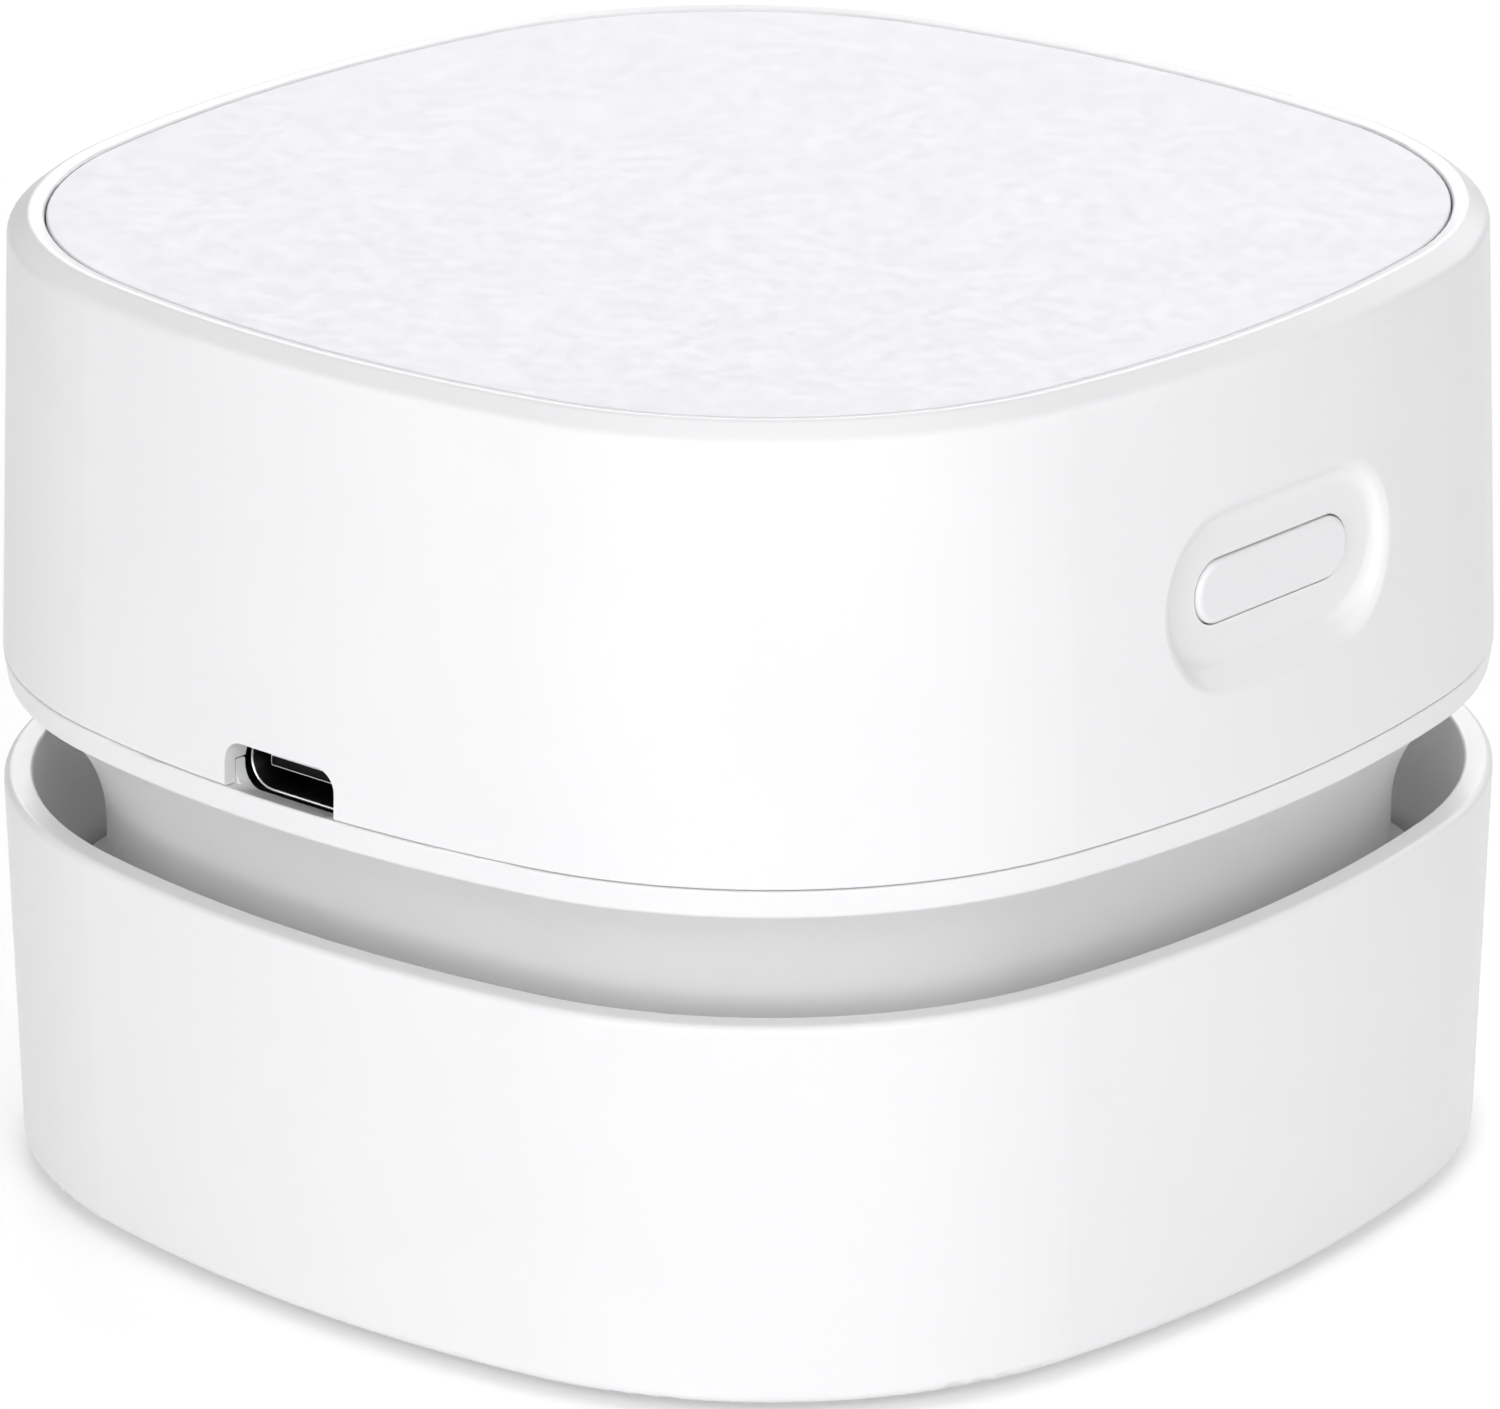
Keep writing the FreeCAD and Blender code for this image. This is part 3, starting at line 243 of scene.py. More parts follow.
chance = random.Random(brush_seed)
brush = bmesh.new()
for strip in range(strip_count):
    facing = 2 * math.pi * strip / strip_count
    spine = []
    for step in range(spine_steps + 1):
        angle = facing + strip_half_angle * (2 * step / spine_steps - 1)
        out = Vector((math.cos(angle), math.sin(angle), 0))
        inner = strip_radius - spine_half_width
        outer = strip_radius + spine_half_width
        spine.append([
            out * inner + Vector((0, 0, spine_bottom + spine_bevel)),
            out * (inner + spine_bevel) + Vector((0, 0, spine_bottom)),
            out * (outer - spine_bevel) + Vector((0, 0, spine_bottom)),
            out * outer + Vector((0, 0, spine_bottom + spine_bevel)),
            out * outer + Vector((0, 0, spine_top)),
            out * inner + Vector((0, 0, spine_top)),
        ])
    loft(brush, spine, cap_first=True, cap_last=True)
    for row_index, row in enumerate(tuft_rows):
        for tuft in range(tufts_in_row):
            share = (tuft + 0.5 + row_shift * (row_index % 2)) / (tufts_in_row + row_shift)
            angle = facing + strip_half_angle * planted_share * (2 * share - 1)
            out = Vector((math.cos(angle), math.sin(angle), 0))
            along = Vector((-math.sin(angle), math.cos(angle), 0))
            root = out * (strip_radius + row)
            for hair in range(hairs_in_tuft):
                turn = hair_turn * hair
                outwards = out * math.cos(turn) + along * math.sin(turn)
                start = root + outwards * (tuft_radius * math.sqrt((hair + 0.5) / hairs_in_tuft))
                lean = out * chance.gauss(row * row_splay, lean_out) + along * chance.gauss(0, lean_along)
                lean += outwards * tuft_splay
                tip = bristle_low.z + tip_gap + abs(chance.gauss(0, tip_wear))
                thick = hair_radius * chance.uniform(thinnest, thickest)
                spin = chance.uniform(0, widest_spin)
                rings = []
                for level, width in hair_thins:
                    centre = start + lean * level ** hair_curl
                    height = (spine_bottom + hair_root) * (1 - level) + tip * level
                    rings.append([
                        Vector((
                            centre.x + thick * width * math.cos(spin + 2 * math.pi * side / hair_sides),
                            centre.y + thick * width * math.sin(spin + 2 * math.pi * side / hair_sides),
                            height,
                        ))
                        for side in range(hair_sides)
                    ])
                rings.reverse()
                loft(brush, rings, cap_first=True, cap_last=True)
brush_piece = finish_mesh("brush_tufts", brush, bristle_nylon, "dust_cup")
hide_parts("brush_strips")

# ---- base screws ----
# Four small pan-head screws of zinc-plated steel with a cross recess, driven up through the base
# plate into the cup's bosses. Like screws hold the head and the boards together further up.
mark_depth = 0.000004


def plated_metal(name, colour, shade, smooth, rough, grain, stretch=(1, 1, 1)):
    """Plated or rolled metal with fine marks, drawn out by the stretch."""
    material, inside, links, shader = start_material(name, colour, roughness=rough, metallic=1.0)
    vector = place_on_piece(inside, links, stretch=stretch)
    marks = speckle(inside, links, vector, grain, detail=4.0)
    links.new(shade_between(inside, links, marks, dark=shade, light=colour), shader.inputs["Base Color"])
    links.new(spread(inside, links, marks, low=smooth, high=rough), shader.inputs["Roughness"])
    raise_surface(inside, links, shader, marks, mark_depth, strength=0.6)
    return material


screw_steel = plated_metal(
    "screw_steel", colour=(0.62, 0.63, 0.65), shade=(0.50, 0.51, 0.54),
    smooth=0.22, rough=0.38, grain=0.0003,
)
dress(screw_steel, "base_screws", "head_screws", "motor_screws", "board_screws")

# ---- filter cassette ----
# A grey frame with a cross and a hoop that lies on the cup's ledge. It holds a woven steel mesh below
# and a pad of open-cell foam above, and a thin rubber bead on its top seals against the head.
filter_grey = moulded_plastic(
    "filter_grey", light=(0.42, 0.43, 0.45), dark=(0.38, 0.39, 0.41),
    smooth=0.42, rough=0.55, grain=0.0003, depth=0.000004,
)
dress(filter_grey, "filter_frame")

weave_scale = 620
wire_relief = 0.00008
mesh_steel, inside, links, shader = start_material(
    "woven_steel", (0.55, 0.56, 0.58), roughness=0.35, metallic=0.9
)
vector = place_on_piece(inside, links)
threads = []
for direction in ("X", "Y"):
    wave = inside.new("ShaderNodeTexWave")
    wave.wave_type = "BANDS"
    wave.bands_direction = direction
    wave.inputs["Scale"].default_value = weave_scale
    wave.inputs["Distortion"].default_value = 0.0
    links.new(vector, wave.inputs["Vector"])
    threads.append(wave.outputs["Fac"])
over = inside.new("ShaderNodeMath")
over.operation = "MAXIMUM"
links.new(threads[0], over.inputs[0])
links.new(threads[1], over.inputs[1])
links.new(
    shade_between(
        inside, links, over.outputs[0],
        dark=(0.02, 0.02, 0.02), light=(0.60, 0.61, 0.63), low=0.45, high=0.7,
    ),
    shader.inputs["Base Color"],
)
raise_surface(inside, links, shader, over.outputs[0], wire_relief)
dress(mesh_steel, "filter_mesh")

# The plan's outline, worked out again for the soft pieces that follow it: four bowed sides with
# round corners, where a wall nearer the middle keeps the same centres and takes smaller radii.
side_shift = 0.05084
side_turn = math.radians(11.107)
corner_shift = -0.01363
corner_middle = 0.01242


def plan_angles(side_steps=14, corner_steps=20):
    """Directions round the plan, close together at the corners."""
    angles = []
    for quarter in range(4):
        facing = math.pi / 2 * quarter
        for step in range(side_steps):
            angles.append((facing - side_turn + 2 * side_turn * step / side_steps, facing, False))
        for step in range(corner_steps):
            span = math.pi / 2 - 2 * side_turn
            angles.append((facing + side_turn + span * step / corner_steps, facing, True))
    return angles


def plan_point(half, place, z):
    """A point on the plan outline of that half width."""
    angle, facing, at_corner = place
    if at_corner:
        spread_out = corner_middle * math.sqrt(2)
        middle = (
            spread_out * math.cos(facing + math.pi / 4), spread_out * math.sin(facing + math.pi / 4)
        )
        radius = half + corner_shift
    else:
        middle = (-side_shift * math.cos(facing), -side_shift * math.sin(facing))
        radius = half + side_shift
    return Vector((middle[0] + radius * math.cos(angle), middle[1] + radius * math.sin(angle), z))


def plan_sweep(mesh, section):
    """Carry a closed (half width, z) section round the outline."""
    corners = []
    for place in plan_angles():
        corners.append([mesh.verts.new(plan_point(half, place, z)) for half, z in section])
    corners.append(corners[0])
    count = len(section)
    for back, ahead in zip(corners, corners[1:]):
        for index in range(count):
            after = (index + 1) % count
            mesh.faces.new((back[index], ahead[index], ahead[after], back[after]))


pore_scale = 1500
pore_depth = 0.0003
foam_grey, inside, links, shader = start_material("open_foam", (0.07, 0.07, 0.075), roughness=0.9)
vector = place_on_piece(inside, links)
# The pores are painted darker than the strands between them, as painted shade in the pits.
cells = inside.new("ShaderNodeTexVoronoi")
cells.inputs["Scale"].default_value = pore_scale
links.new(vector, cells.inputs["Vector"])
links.new(
    shade_between(
        inside, links, cells.outputs["Distance"],
        dark=(0.012, 0.012, 0.014), light=(0.11, 0.11, 0.12), low=0.1, high=0.6,
    ),
    shader.inputs["Base Color"],
)
raise_surface(inside, links, shader, cells.outputs["Distance"], pore_depth)

foam_low, foam_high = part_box("filter_foam")
foam_half = foam_high.x - 0.00005
foam_face = foam_high.z - 0.00004
foam_rings = 34
foam_pits = 0.00012
foam_swell = 0.0001
swell_turns = 190
foam_seed = 7
foam = bmesh.new()
chance = random.Random(foam_seed)
foam_edge = (
    (foam_half - 0.0006, foam_low.z + 0.00003),
    (foam_half, foam_low.z + 0.0005),
    (foam_half, foam_high.z - 0.0007),
    (foam_half - 0.0002, foam_high.z - 0.0003),
    (foam_half - 0.0007, foam_high.z - 0.00008),
)
rings = [[plan_point(half, place, z) for place in plan_angles()] for half, z in foam_edge]
rim = rings[-1]
for step in range(1, foam_rings):
    share = 1 - step / foam_rings
    ring = []
    for point in rim:
        swell = foam_swell * (1 + math.sin(swell_turns * point.x * share)) / 2
        dimple = foam_pits * chance.random() + swell
        ring.append(Vector((point.x * share, point.y * share, foam_face - dimple)))
    rings.append(ring)
loft(foam, rings, cap_first=True, cap_last=True)
foam_piece = finish_mesh("foam_pad", foam, foam_grey, "filter_cassette", smooth_angle=60)
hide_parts("filter_foam")

bloom_size = 0.002
rubber_grain = 0.0002
rubber_relief = 0.00001
seal_rubber, inside, links, shader = start_material("seal_rubber", (0.62, 0.63, 0.65), roughness=0.55)
vector = place_on_piece(inside, links)
bloom = speckle(inside, links, vector, bloom_size, detail=4.0)
links.new(
    shade_between(inside, links, bloom, dark=(0.54, 0.55, 0.57), light=(0.66, 0.67, 0.69)),
    shader.inputs["Base Color"],
)
links.new(spread(inside, links, bloom, low=0.48, high=0.66), shader.inputs["Roughness"])
raise_surface(inside, links, shader, speckle(inside, links, vector, rubber_grain), rubber_relief)


def rounded_section(inner, outer, bottom, top, radius, steps=4):
    """Rounded rectangle of (half width, z) points."""
    section = []
    centres = (
        (outer - radius, bottom + radius, -90),
        (outer - radius, top - radius, 0),
        (inner + radius, top - radius, 90),
        (inner + radius, bottom + radius, 180),
    )
    for half, z, start in centres:
        for step in range(steps + 1):
            angle = math.radians(start + 90 * step / steps)
            section.append((half + radius * math.cos(angle), z + radius * math.sin(angle)))
    return section


gasket_low, gasket_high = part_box("filter_gasket")
gasket_depth = 0.0021
gasket_round = 0.00018
gasket_trim = 0.00001
gasket = bmesh.new()
plan_sweep(
    gasket,
    rounded_section(
        gasket_high.x - gasket_depth,
        gasket_high.x,
        gasket_low.z + gasket_trim,
        gasket_high.z - gasket_trim,
        gasket_round,
    ),
)
gasket_piece = finish_mesh(
    "gasket_bead", gasket, seal_rubber, "filter_cassette", smooth_angle=40
)
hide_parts("filter_gasket")

# ---- lower cover of the head ----
# The white moulding under the head: a floor with the air grille, a recessed neck with exhaust slots
# low down, and a flare that runs out to the thin band below the parting line.
dress(shell_white, "lower_cover")

# ---- neck seal ----
# A soft rubber ring in a groove round the head's foot. It presses on the inside of the cup, so that
# the head stays in place and no dust passes.
seal_low, seal_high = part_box("neck_seal")
seal_depth = 0.00104
seal_round = 0.00036
seal_trim = 0.00002
seal = bmesh.new()
plan_sweep(
    seal,
    rounded_section(
        seal_high.x - seal_depth,
        seal_high.x,
        seal_low.z + seal_trim,
        seal_high.z - seal_trim,
        seal_round,
    ),
)
seal_piece = finish_mesh("seal_ring", seal, seal_rubber, "motor_head", smooth_angle=50)
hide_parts("neck_seal")

# ---- fan and rotor ----
# Everything that spins: a fan wheel of grey nylon on a steel shaft, and above it the motor's
# laminated core, its copper coils and the commutator.
fan_grey = moulded_plastic(
    "fan_grey", light=(0.30, 0.31, 0.33), dark=(0.26, 0.27, 0.29),
    smooth=0.38, rough=0.50, grain=0.0004, depth=0.000004,
)
dress(fan_grey, "impeller")
shaft_steel = plated_metal(
    "shaft_steel", colour=(0.58, 0.58, 0.60), shade=(0.48, 0.48, 0.50),
    smooth=0.16, rough=0.30, grain=0.0006, stretch=(1, 1, 30),
)
dress(shaft_steel, "motor_shaft")
laminations = plated_metal(
    "laminations", colour=(0.36, 0.36, 0.38), shade=(0.16, 0.16, 0.18),
    smooth=0.35, rough=0.55, grain=0.0004, stretch=(0.05, 0.05, 1),
)
dress(laminations, "armature_core")

wire_turns = 1250
wire_round = 0.00008
wire_waver = 0.6
copper_wire, inside, links, shader = start_material(
    "copper_wire", (0.62, 0.26, 0.11), roughness=0.28, metallic=1.0
)
vector = place_on_piece(inside, links)
# Where the turns meet, the copper is painted darker, as painted shade in the grooves between them.
turns = inside.new("ShaderNodeTexWave")
turns.wave_type = "BANDS"
turns.bands_direction = "Z"
turns.inputs["Scale"].default_value = wire_turns
turns.inputs["Distortion"].default_value = wire_waver
links.new(vector, turns.inputs["Vector"])
links.new(
    shade_between(
        inside, links, turns.outputs["Fac"],
        dark=(0.22, 0.07, 0.03), light=(0.70, 0.30, 0.13), low=0.1, high=0.6,
    ),
    shader.inputs["Base Color"],
)
raise_surface(inside, links, shader, turns.outputs["Fac"], wire_round)
dress(copper_wire, "armature_windings")
brass = plated_metal(
    "brass", colour=(0.66, 0.50, 0.24), shade=(0.55, 0.40, 0.18),
    smooth=0.22, rough=0.36, grain=0.0005,
)
dress(brass, "commutator", "motor_terminals")

# ---- motor ----
# A small direct-current motor with a drawn steel can, two arc magnets, a moulded end cap and two
# bronze bushes. It stands on the fan deck on a rubber pad, and two screws hold it from below.
deck_grey = moulded_plastic(
    "deck_grey", light=(0.62, 0.63, 0.65), dark=(0.58, 0.59, 0.61),
    smooth=0.42, rough=0.56, grain=0.0004, depth=0.000005,
)
dress(deck_grey, "fan_deck", "motor_end_cap")
can_steel = plated_metal(
    "can_steel", colour=(0.60, 0.60, 0.61), shade=(0.50, 0.50, 0.51),
    smooth=0.20, rough=0.36, grain=0.0009, stretch=(1, 1, 0.06),
)
dress(can_steel, "motor_can")
bronze = plated_metal(
    "bronze", colour=(0.45, 0.31, 0.18), shade=(0.36, 0.24, 0.13),
    smooth=0.34, rough=0.52, grain=0.0003,
)
dress(bronze, "motor_bushes")
ferrite = moulded_plastic(
    "ferrite", light=(0.055, 0.055, 0.06), dark=(0.03, 0.03, 0.034),
    smooth=0.5, rough=0.72, grain=0.0003, depth=0.00001,
)
dress(ferrite, "motor_magnets")
damper_black = moulded_plastic(
    "damper_black", light=(0.035, 0.035, 0.038), dark=(0.02, 0.02, 0.022),
    smooth=0.62, rough=0.78, grain=0.0003, depth=0.00001,
)
dress(damper_black, "motor_damper")

# ---- battery ----
# One rechargeable cell in shrink film, laid in two saddles on the fan deck, with a nickel tab welded
# to each end.
wrinkle_size = 0.0035
wrinkle_depth = 0.00006
cell_film, inside, links, shader = start_material("cell_film", (0.10, 0.28, 0.55), roughness=0.28)
shader.inputs["Coat Weight"].default_value = 0.3
shader.inputs["Coat Roughness"].default_value = 0.15
vector = place_on_piece(inside, links, stretch=(0.35, 1, 1))
wrinkle = speckle(inside, links, vector, wrinkle_size)
links.new(
    shade_between(inside, links, wrinkle, dark=(0.08, 0.24, 0.49), light=(0.12, 0.31, 0.59)),
    shader.inputs["Base Color"],
)
raise_surface(inside, links, shader, wrinkle, wrinkle_depth)
dress(cell_film, "battery_cell")
nickel = plated_metal(
    "nickel", colour=(0.60, 0.58, 0.55), shade=(0.50, 0.48, 0.45),
    smooth=0.22, rough=0.38, grain=0.0008, stretch=(1, 6, 1),
)
dress(nickel, "battery_tabs")

# ---- boards, chips and wires ----
# The charging board lies on posts over the fan deck, and the small switch board slides into two ribs.
# Both are glass-fibre laminate with green mask. Insulated leads join them to motor and battery.
track_scale = 520
track_depth = 0.00003
mask_green, inside, links, shader = start_material("board_mask", (0.012, 0.08, 0.035), roughness=0.36)
vector = place_on_piece(inside, links)
tracks = inside.new("ShaderNodeTexVoronoi")
tracks.distance = "CHEBYCHEV"
tracks.feature = "F2"
tracks.inputs["Scale"].default_value = track_scale
links.new(vector, tracks.inputs["Vector"])
links.new(
    shade_between(
        inside, links, tracks.outputs["Distance"],
        dark=(0.007, 0.05, 0.022), light=(0.018, 0.10, 0.045), low=0.45, high=0.55,
    ),
    shader.inputs["Base Color"],
)
raise_surface(inside, links, shader, tracks.outputs["Distance"], track_depth)
dress(mask_green, "main_board", "switch_board")
chip_black = moulded_plastic(
    "chip_black", light=(0.03, 0.03, 0.032), dark=(0.02, 0.02, 0.022),
    smooth=0.45, rough=0.62, grain=0.0002, depth=0.000006,
)
dress(chip_black, "board_chips", "switch_body")
stem_ivory = moulded_plastic(
    "stem_ivory", light=(0.75, 0.73, 0.68), dark=(0.71, 0.69, 0.64),
    smooth=0.40, rough=0.55, grain=0.0003, depth=0.000004,
)
dress(stem_ivory, "switch_stem")
lead_red = moulded_plastic(
    "lead_red", light=(0.46, 0.03, 0.025), dark=(0.40, 0.02, 0.02),
    smooth=0.36, rough=0.50, grain=0.0004, depth=0.000005,
)
lead_black = moulded_plastic(
    "lead_black", light=(0.03, 0.03, 0.032), dark=(0.02, 0.02, 0.022),
    smooth=0.36, rough=0.50, grain=0.0004, depth=0.000005,
)
dress(lead_red, "battery_leads", "switch_leads")
dress(lead_black, "motor_leads")

# ---- charging socket ----
# A standard reversible charging socket soldered to the board: a drawn steel shell whose inside is painted
# near-black as shade, with a bright rolled lip, a moulded black insulator, and a tongue with twelve gilt
# contacts on each face.
shell_wall = 0.0003
lip_flare = 0.00014
lip_radius = 0.0001
lip_length = 0.00044
lip_steps = 8
insulator_depth = 0.002
insulator_bevel = 0.0001
insulator_trim = 0.00002
tongue_half_width = 0.003345
tongue_half_height = 0.00035
tongue_corner = 0.00012
tongue_overlap = 0.0002
tongue_nose = ((0.0, 0.00012), (0.00004, 0.00004), (0.00014, 0.0))
nose_edge = ((0.00003, 0.00006), (0.00003, 0.00003), (0.0001, -0.00003), (0.00014, 0.00003))
same_place = 0.0000001
socket_low, socket_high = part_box("usb_socket_shell")
insulator_low, insulator_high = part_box("usb_socket_tongue")
socket_level = (socket_low.z + socket_high.z) / 2


def pill_ring(x, inset, half_width, half_height, steps=12):
    """Outline of a pill-shaped opening that faces -X, drawn in by the inset."""
    radius = half_height - inset
    ring = []
    for side in (1, -1):
        for step in range(steps + 1):
            angle = math.pi * step / steps - math.pi / 2
            y = side * (half_width - half_height + radius * math.cos(angle))
            ring.append(Vector((x, y, socket_level + side * radius * math.sin(angle))))
    return ring


socket_steel = plated_metal(
    "socket_steel", colour=(0.93, 0.93, 0.93), shade=(0.86, 0.86, 0.86),
    smooth=0.22, rough=0.36, grain=0.0005, stretch=(0.2, 1, 1),
)
# The shell's inside: its steel painted near-black, as painted shade in the depth of the socket.
shell_inside_painted_shade = plated_metal(
    "shell_inside_painted_shade", colour=(0.040, 0.040, 0.042), shade=(0.030, 0.030, 0.032),
    smooth=0.30, rough=0.44, grain=0.0005, stretch=(0.2, 1, 1),
)
shell_half_width = socket_high.y
shell_half_height = socket_high.z - socket_level
section = [(socket_high.x, 0.0), (socket_low.x + lip_length, 0.0)]
for step in range(lip_steps + 1):
    turn = math.pi * step / lip_steps
    section.append((
        socket_low.x + lip_radius * (1 - math.sin(turn)), lip_radius * (1 - math.cos(turn)) - lip_flare
    ))
section.append((socket_low.x + lip_length, shell_wall))
section.append((socket_high.x - shell_wall, shell_wall))
socket_mesh = bmesh.new()
socket_rings = [pill_ring(x, inset, shell_half_width, shell_half_height) for x, inset in section]
loft(socket_mesh, socket_rings, cap_first=True, cap_last=True)

# The last two strips and the last cap are the shell's inside, which takes a near-black colour painted in
# as shade.
in_order = list(socket_mesh.faces)
ring_points = len(socket_rings[0])
for face in in_order[-2 * ring_points - 2:-2] + in_order[-1:]:
    face.material_index = 1
socket_piece = finish_mesh(
    "socket_shell", socket_mesh, socket_steel, "motor_head", smooth_angle=50
)
socket_piece.data.materials.append(shell_inside_painted_shade)
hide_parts("usb_socket_shell")

tongue_black = moulded_plastic(
    "tongue_black", light=(0.008, 0.008, 0.009), dark=(0.005, 0.005, 0.006),
    smooth=0.50, rough=0.62, grain=0.0002, depth=0.000003, specular=0.10,
)


def block_ring(x, inset, steps=4):
    """Cross-section of the tongue, a rectangle with round corners."""
    ring = []
    half_y = tongue_half_width - tongue_corner - inset
    half_z = tongue_half_height - tongue_corner - inset
    for side_y, side_z, start in ((1, 1, 0), (-1, 1, 90), (-1, -1, 180), (1, -1, 270)):
        for step in range(steps + 1):
            angle = math.radians(start + 90 * step / steps)
            ring.append(Vector((
                x,
                side_y * half_y + tongue_corner * math.cos(angle),
                socket_level + side_z * half_z + tongue_corner * math.sin(angle),
            )))
    return ring


tongue_tip = insulator_low.x
tongue_root = insulator_high.x - insulator_depth
tongue_mesh = bmesh.new()
tongue_rings = [block_ring(tongue_tip + x, inset) for x, inset in tongue_nose]
tongue_rings.append(block_ring(tongue_root + tongue_overlap, 0.0))
loft(tongue_mesh, tongue_rings, cap_first=True, cap_last=True)
inside_half_height = shell_half_height - shell_wall
loft(
    tongue_mesh,
    [
        pill_ring(tongue_root, insulator_bevel, insulator_high.y, inside_half_height),
        pill_ring(tongue_root + insulator_bevel, 0.0, insulator_high.y, inside_half_height),
        pill_ring(insulator_high.x - insulator_trim, 0.0, insulator_high.y, inside_half_height),
    ],
    cap_first=True,
    cap_last=True,
)
tongue_piece = finish_mesh(
    "socket_tongue", tongue_mesh, tongue_black, "motor_head", smooth_angle=40
)
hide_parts("usb_socket_tongue")

# A thin pale edge round the tongue's tip, where its inner plate comes to the surface; it is painted far
# paler than the plate, as a painted highlight along the tip's edge.
plate_edge_painted_highlight = moulded_plastic(
    "plate_edge_painted_highlight", light=(0.90, 0.90, 0.90), dark=(0.82, 0.82, 0.83),
    smooth=0.30, rough=0.44, grain=0.0003, depth=0.000002,
)
edge_mesh = bmesh.new()
edge_rings = [block_ring(tongue_tip + x, inset) for x, inset in nose_edge]
loft(edge_mesh, edge_rings + edge_rings[:1])
bmesh.ops.remove_doubles(edge_mesh, verts=edge_mesh.verts, dist=same_place)
finish_mesh("socket_tongue_edge", edge_mesh, plate_edge_painted_highlight, "motor_head", smooth_angle=30)

contacts_in_row = 12
contact_pitch = 0.0005
contact_foot = 0.00013
contact_crown = 0.00011
contact_sunk = -0.00003
contact_proud = 0.00002
contact_ramp = 0.00005
long_contact_start = 0.0006
short_contact_start = 0.0009
contact_end = tongue_root - 0.0003
contact_gold = plated_metal(
    "contact_gold", colour=(0.83, 0.62, 0.28), shade=(0.74, 0.52, 0.20),
    smooth=0.18, rough=0.30, grain=0.0004, stretch=(0.3, 1, 1),
)
contact_mesh = bmesh.new()
for face in (1, -1):
    level = socket_level + face * tongue_half_height
    for index in range(contacts_in_row):
        y = (index - (contacts_in_row - 1) / 2) * contact_pitch
        tip = tongue_tip + (long_contact_start if index % 3 == 0 else short_contact_start)
        rings = []
        for x, lift in ((tip, 0.0), (tip + contact_ramp, contact_proud), (contact_end, contact_proud)):
            rings.append([
                Vector((x, y - contact_foot, level + face * contact_sunk)),
                Vector((x, y + contact_foot, level + face * contact_sunk)),
                Vector((x, y + contact_crown, level + face * lift)),
                Vector((x, y - contact_crown, level + face * lift)),
            ])
        loft(contact_mesh, rings, cap_first=True, cap_last=True)
finish_mesh("socket_contacts", contact_mesh, contact_gold, "motor_head", smooth_angle=30)

# ---- upper shell ----
# The head's main housing in the same satin white, with drafted walls, a rolled shoulder, the dish
# for the button and the notch over the charging socket. Four columns inside take the head screws.
dress(shell_white, "upper_shell")

# ---- power button ----
# A white pill-shaped cap in the middle of the dish. Its flange behind the wall keeps it in, and a
# tact switch behind it springs it back.
button_white = moulded_plastic(
    "button_white", light=(0.880, 0.875, 0.873), dark=(0.864, 0.860, 0.860),
    smooth=0.34, rough=0.44, grain=0.0002, depth=0.000001,
)
dress(button_white, "button_cap")

# ---- top panel ----
# A flat bare panel let into the top of the shell, on a sheet of adhesive tape. It is a shade cooler
# than the shell, with a fine pearly matt finish.
panel_pearl = moulded_plastic(
    "panel_pearl", light=(0.852, 0.850, 0.862), dark=(0.838, 0.836, 0.850),
    smooth=0.42, rough=0.52, grain=0.00016, depth=0.0000014,
)
dress(panel_pearl, "top_panel")
tape_white = moulded_plastic(
    "tape_white", light=(0.70, 0.69, 0.66), dark=(0.64, 0.63, 0.60),
    smooth=0.6, rough=0.75, grain=0.0003, depth=0.000004,
)
dress(tape_white, "panel_tape")

# ---- table ----
# A white sweep that carries the vacuum, wide enough to fill every view. It is seen as white, and
# keeps a faint shadow under the cup.
table_glow = 0.32
flat_rings = (0.4, 1.0, 1.7)
table_bend = 0.6
bend_steps = 8
table_sides = 96
table_tone, inside, links, shader = start_material(
    "table_tone", (0.90, 0.90, 0.90), roughness=0.8, specular=0.2
)
path = inside.new("ShaderNodeLightPath")
seen = inside.new("ShaderNodeMath")
seen.operation = "MAXIMUM"
links.new(path.outputs["Is Camera Ray"], seen.inputs[0])
links.new(path.outputs["Is Glossy Ray"], seen.inputs[1])
glow = inside.new("ShaderNodeEmission")
glow.inputs["Color"].default_value = (1, 1, 1, 1)
amount = inside.new("ShaderNodeMath")
amount.operation = "MULTIPLY"
amount.inputs[1].default_value = table_glow
links.new(seen.outputs[0], amount.inputs[0])
links.new(amount.outputs[0], glow.inputs["Strength"])
both = inside.new("ShaderNodeAddShader")
links.new(shader.outputs["BSDF"], both.inputs[0])
links.new(glow.outputs["Emission"], both.inputs[1])
links.new(both.outputs["Shader"], inside["Material Output"].inputs["Surface"])

table = bmesh.new()
table_profile = [(radius, 0.0) for radius in flat_rings]
for step in range(1, bend_steps + 1):
    angle = math.pi / 2 * step / bend_steps
    table_profile.append((
        flat_rings[-1] + table_bend * math.sin(angle), table_bend * (1 - math.cos(angle))
    ))
rings = []
for radius, height in table_profile:
    ring = []
    for side in range(table_sides):
        angle = 2 * math.pi * side / table_sides
        ring.append(Vector((radius * math.cos(angle), radius * math.sin(angle), height)))
    rings.append(ring)
loft(table, rings, cap_first=True)
bmesh.ops.recalc_face_normals(table, faces=table.faces)
table_data = bpy.data.meshes.new("table_sweep")
table.to_mesh(table_data)
table.free()
table_data.materials.append(table_tone)
table_sweep = bpy.data.objects.new("table_sweep", table_data)
bpy.context.scene.collection.objects.link(table_sweep)

# ---- lamps ----
# Nine soft boxes in a white room: one above the camera, a tall one on each side of it, a low one left
# of it, one at each side of the vacuum, one overhead, and two behind it, of which one stands right.
cool_white = (0.978, 0.982, 1.0)
lamp_aim = Vector((0, 0, 0.03))
view_angle = math.radians(-49.0)


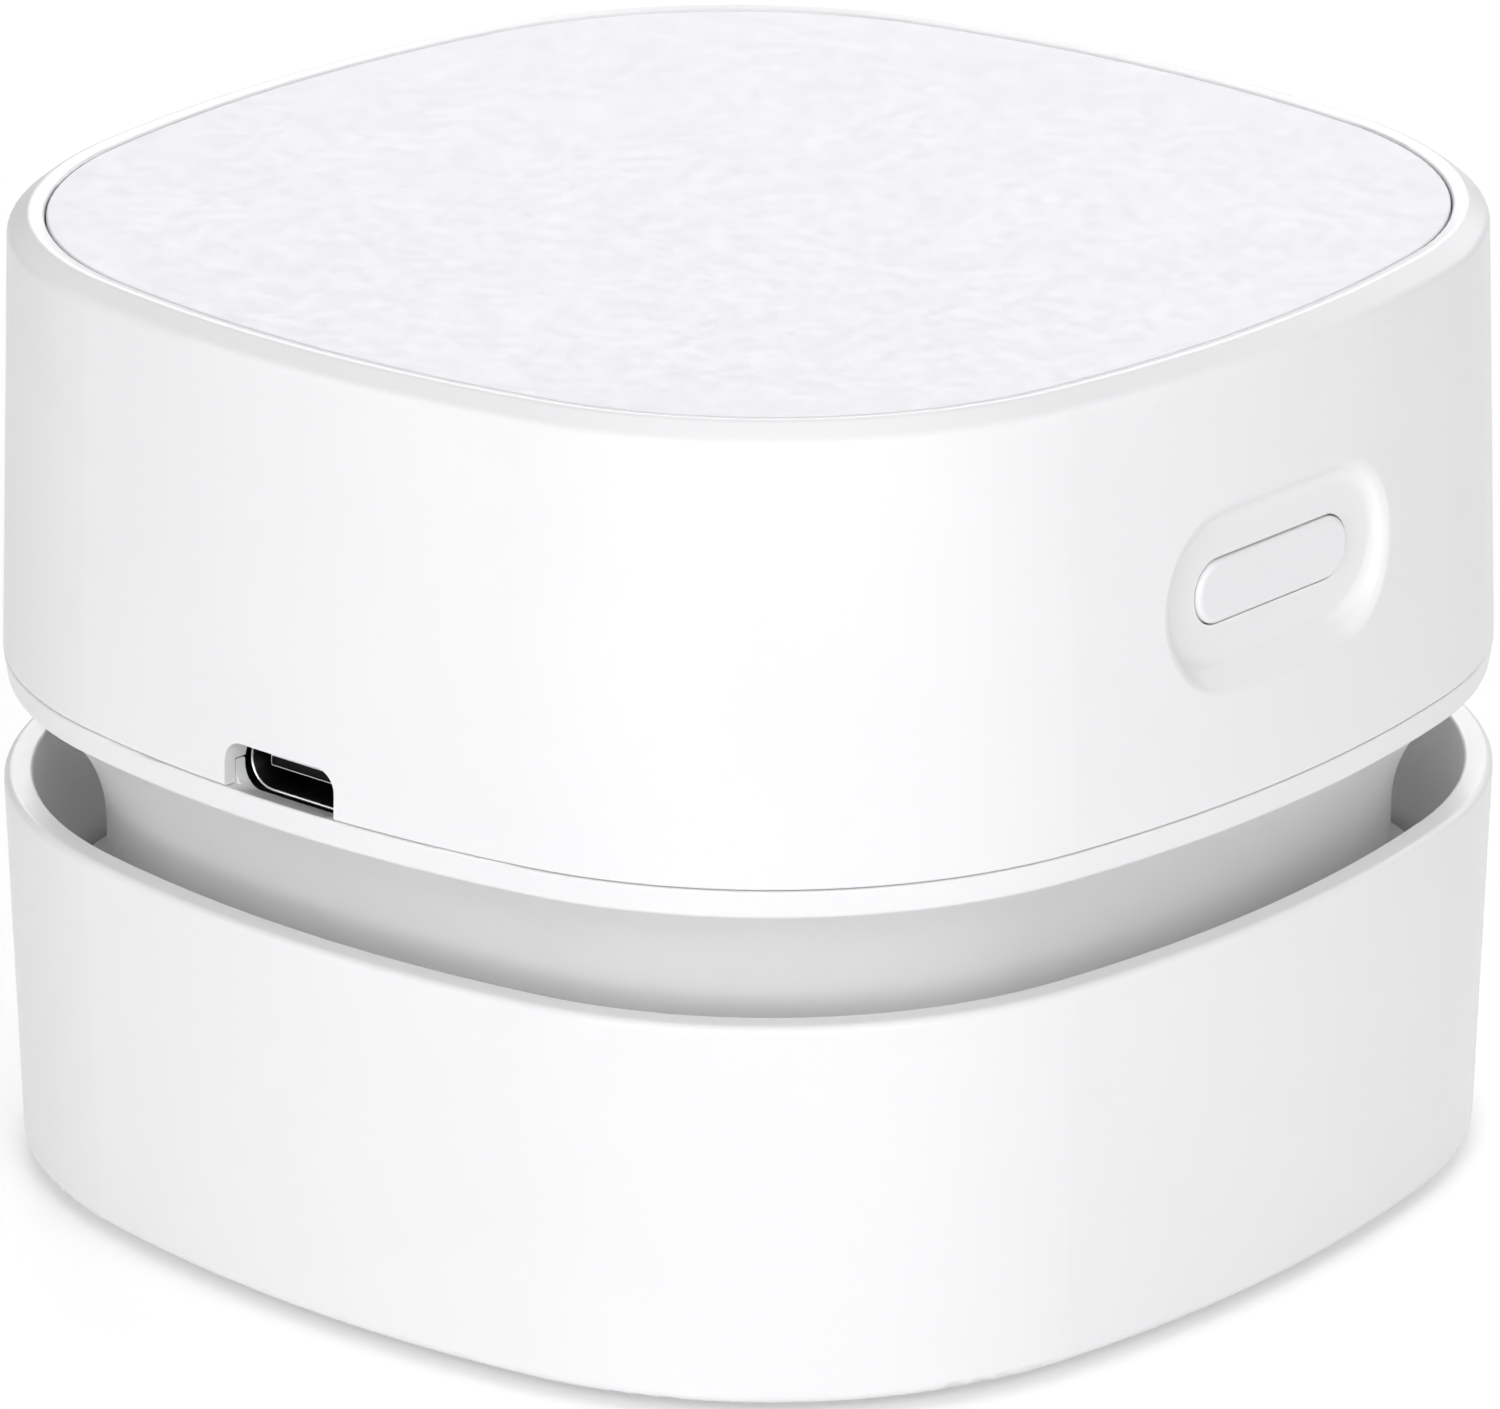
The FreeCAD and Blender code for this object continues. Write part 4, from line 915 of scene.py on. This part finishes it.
def soft_box(name, place, width, height, watts):
    """A rectangular lamp at a place, turned to the vacuum's middle."""
    data = bpy.data.lights.new(name, "AREA")
    data.shape = "RECTANGLE"
    data.size = width
    data.size_y = height
    data.energy = watts
    data.color = cool_white
    lamp = bpy.data.objects.new(name, data)
    lamp.location = place
    lamp.rotation_euler = (lamp_aim - Vector(place)).to_track_quat("-Z", "Y").to_euler()
    bpy.context.scene.collection.objects.link(lamp)


def around(degrees, distance, height):
    """A place round the object, counted from the camera's side towards the right."""
    turn = view_angle + math.radians(degrees)
    return (distance * math.sin(turn), -distance * math.cos(turn), height)


soft_box("front", around(0, 1.0, 0.45), width=0.5, height=0.5, watts=1.1)
soft_box("left_key", around(-22, 0.9, 0.30), width=0.3, height=0.6, watts=2.7)
soft_box("right_key", around(22, 0.9, 0.30), width=0.3, height=0.6, watts=2.4)
soft_box("low_fill", around(-30, 0.9, 0.12), width=0.35, height=0.2, watts=0.75)
soft_box("left_side", around(-75, 0.9, 0.30), width=0.4, height=0.7, watts=1.25)
soft_box("right_side", around(75, 0.9, 0.30), width=0.4, height=0.7, watts=1.6)
soft_box("overhead", (0.0, 0.0, 0.9), width=0.7, height=0.7, watts=2.5)
soft_box("back_right", around(140, 0.8, 0.40), width=0.5, height=0.5, watts=1.3)
soft_box("back", around(180, 0.9, 0.5), width=0.6, height=0.4, watts=3.1)

# The room is white to the eye, in mirror images and through glass, and sheds no light of its own.
room = bpy.data.worlds.new("white_room")
room.use_nodes = True
sky = room.node_tree.nodes["Background"]
sky.inputs["Color"].default_value = (1, 1, 1, 1)
light_path = room.node_tree.nodes.new("ShaderNodeLightPath")
seen_or_mirrored = room.node_tree.nodes.new("ShaderNodeMath")
seen_or_mirrored.operation = "MAXIMUM"
any_view = room.node_tree.nodes.new("ShaderNodeMath")
any_view.operation = "MAXIMUM"
room.node_tree.links.new(light_path.outputs["Is Camera Ray"], seen_or_mirrored.inputs[0])
room.node_tree.links.new(light_path.outputs["Is Glossy Ray"], seen_or_mirrored.inputs[1])
room.node_tree.links.new(seen_or_mirrored.outputs[0], any_view.inputs[0])
room.node_tree.links.new(light_path.outputs["Is Transmission Ray"], any_view.inputs[1])
room.node_tree.links.new(any_view.outputs[0], sky.inputs["Strength"])
bpy.context.scene.world = room

# ---- camera ----
# A long lens a little above the table, turned to the corner between the socket and the button, and
# aimed a little below half the vacuum's height.
camera_rise = math.radians(19.97)
camera_distance = 0.5636
camera_lens = 216.2
camera_shift = 0.0033
aim = Vector((0, 0, 0.0277))
back = Vector((
    math.sin(view_angle) * math.cos(camera_rise),
    -math.cos(view_angle) * math.cos(camera_rise),
    math.sin(camera_rise),
))
camera_data = bpy.data.cameras.new("camera")
camera_data.sensor_width = 36.0
camera_data.lens = camera_lens
camera_data.shift_y = camera_shift
camera_data.clip_start = 0.01
camera = bpy.data.objects.new("camera", camera_data)
camera.location = aim + back * camera_distance
camera.rotation_euler = (-back).to_track_quat("-Z", "Y").to_euler()
bpy.context.scene.collection.objects.link(camera)
bpy.context.scene.camera = camera
bpy.context.scene.view_settings.view_transform = "Standard"
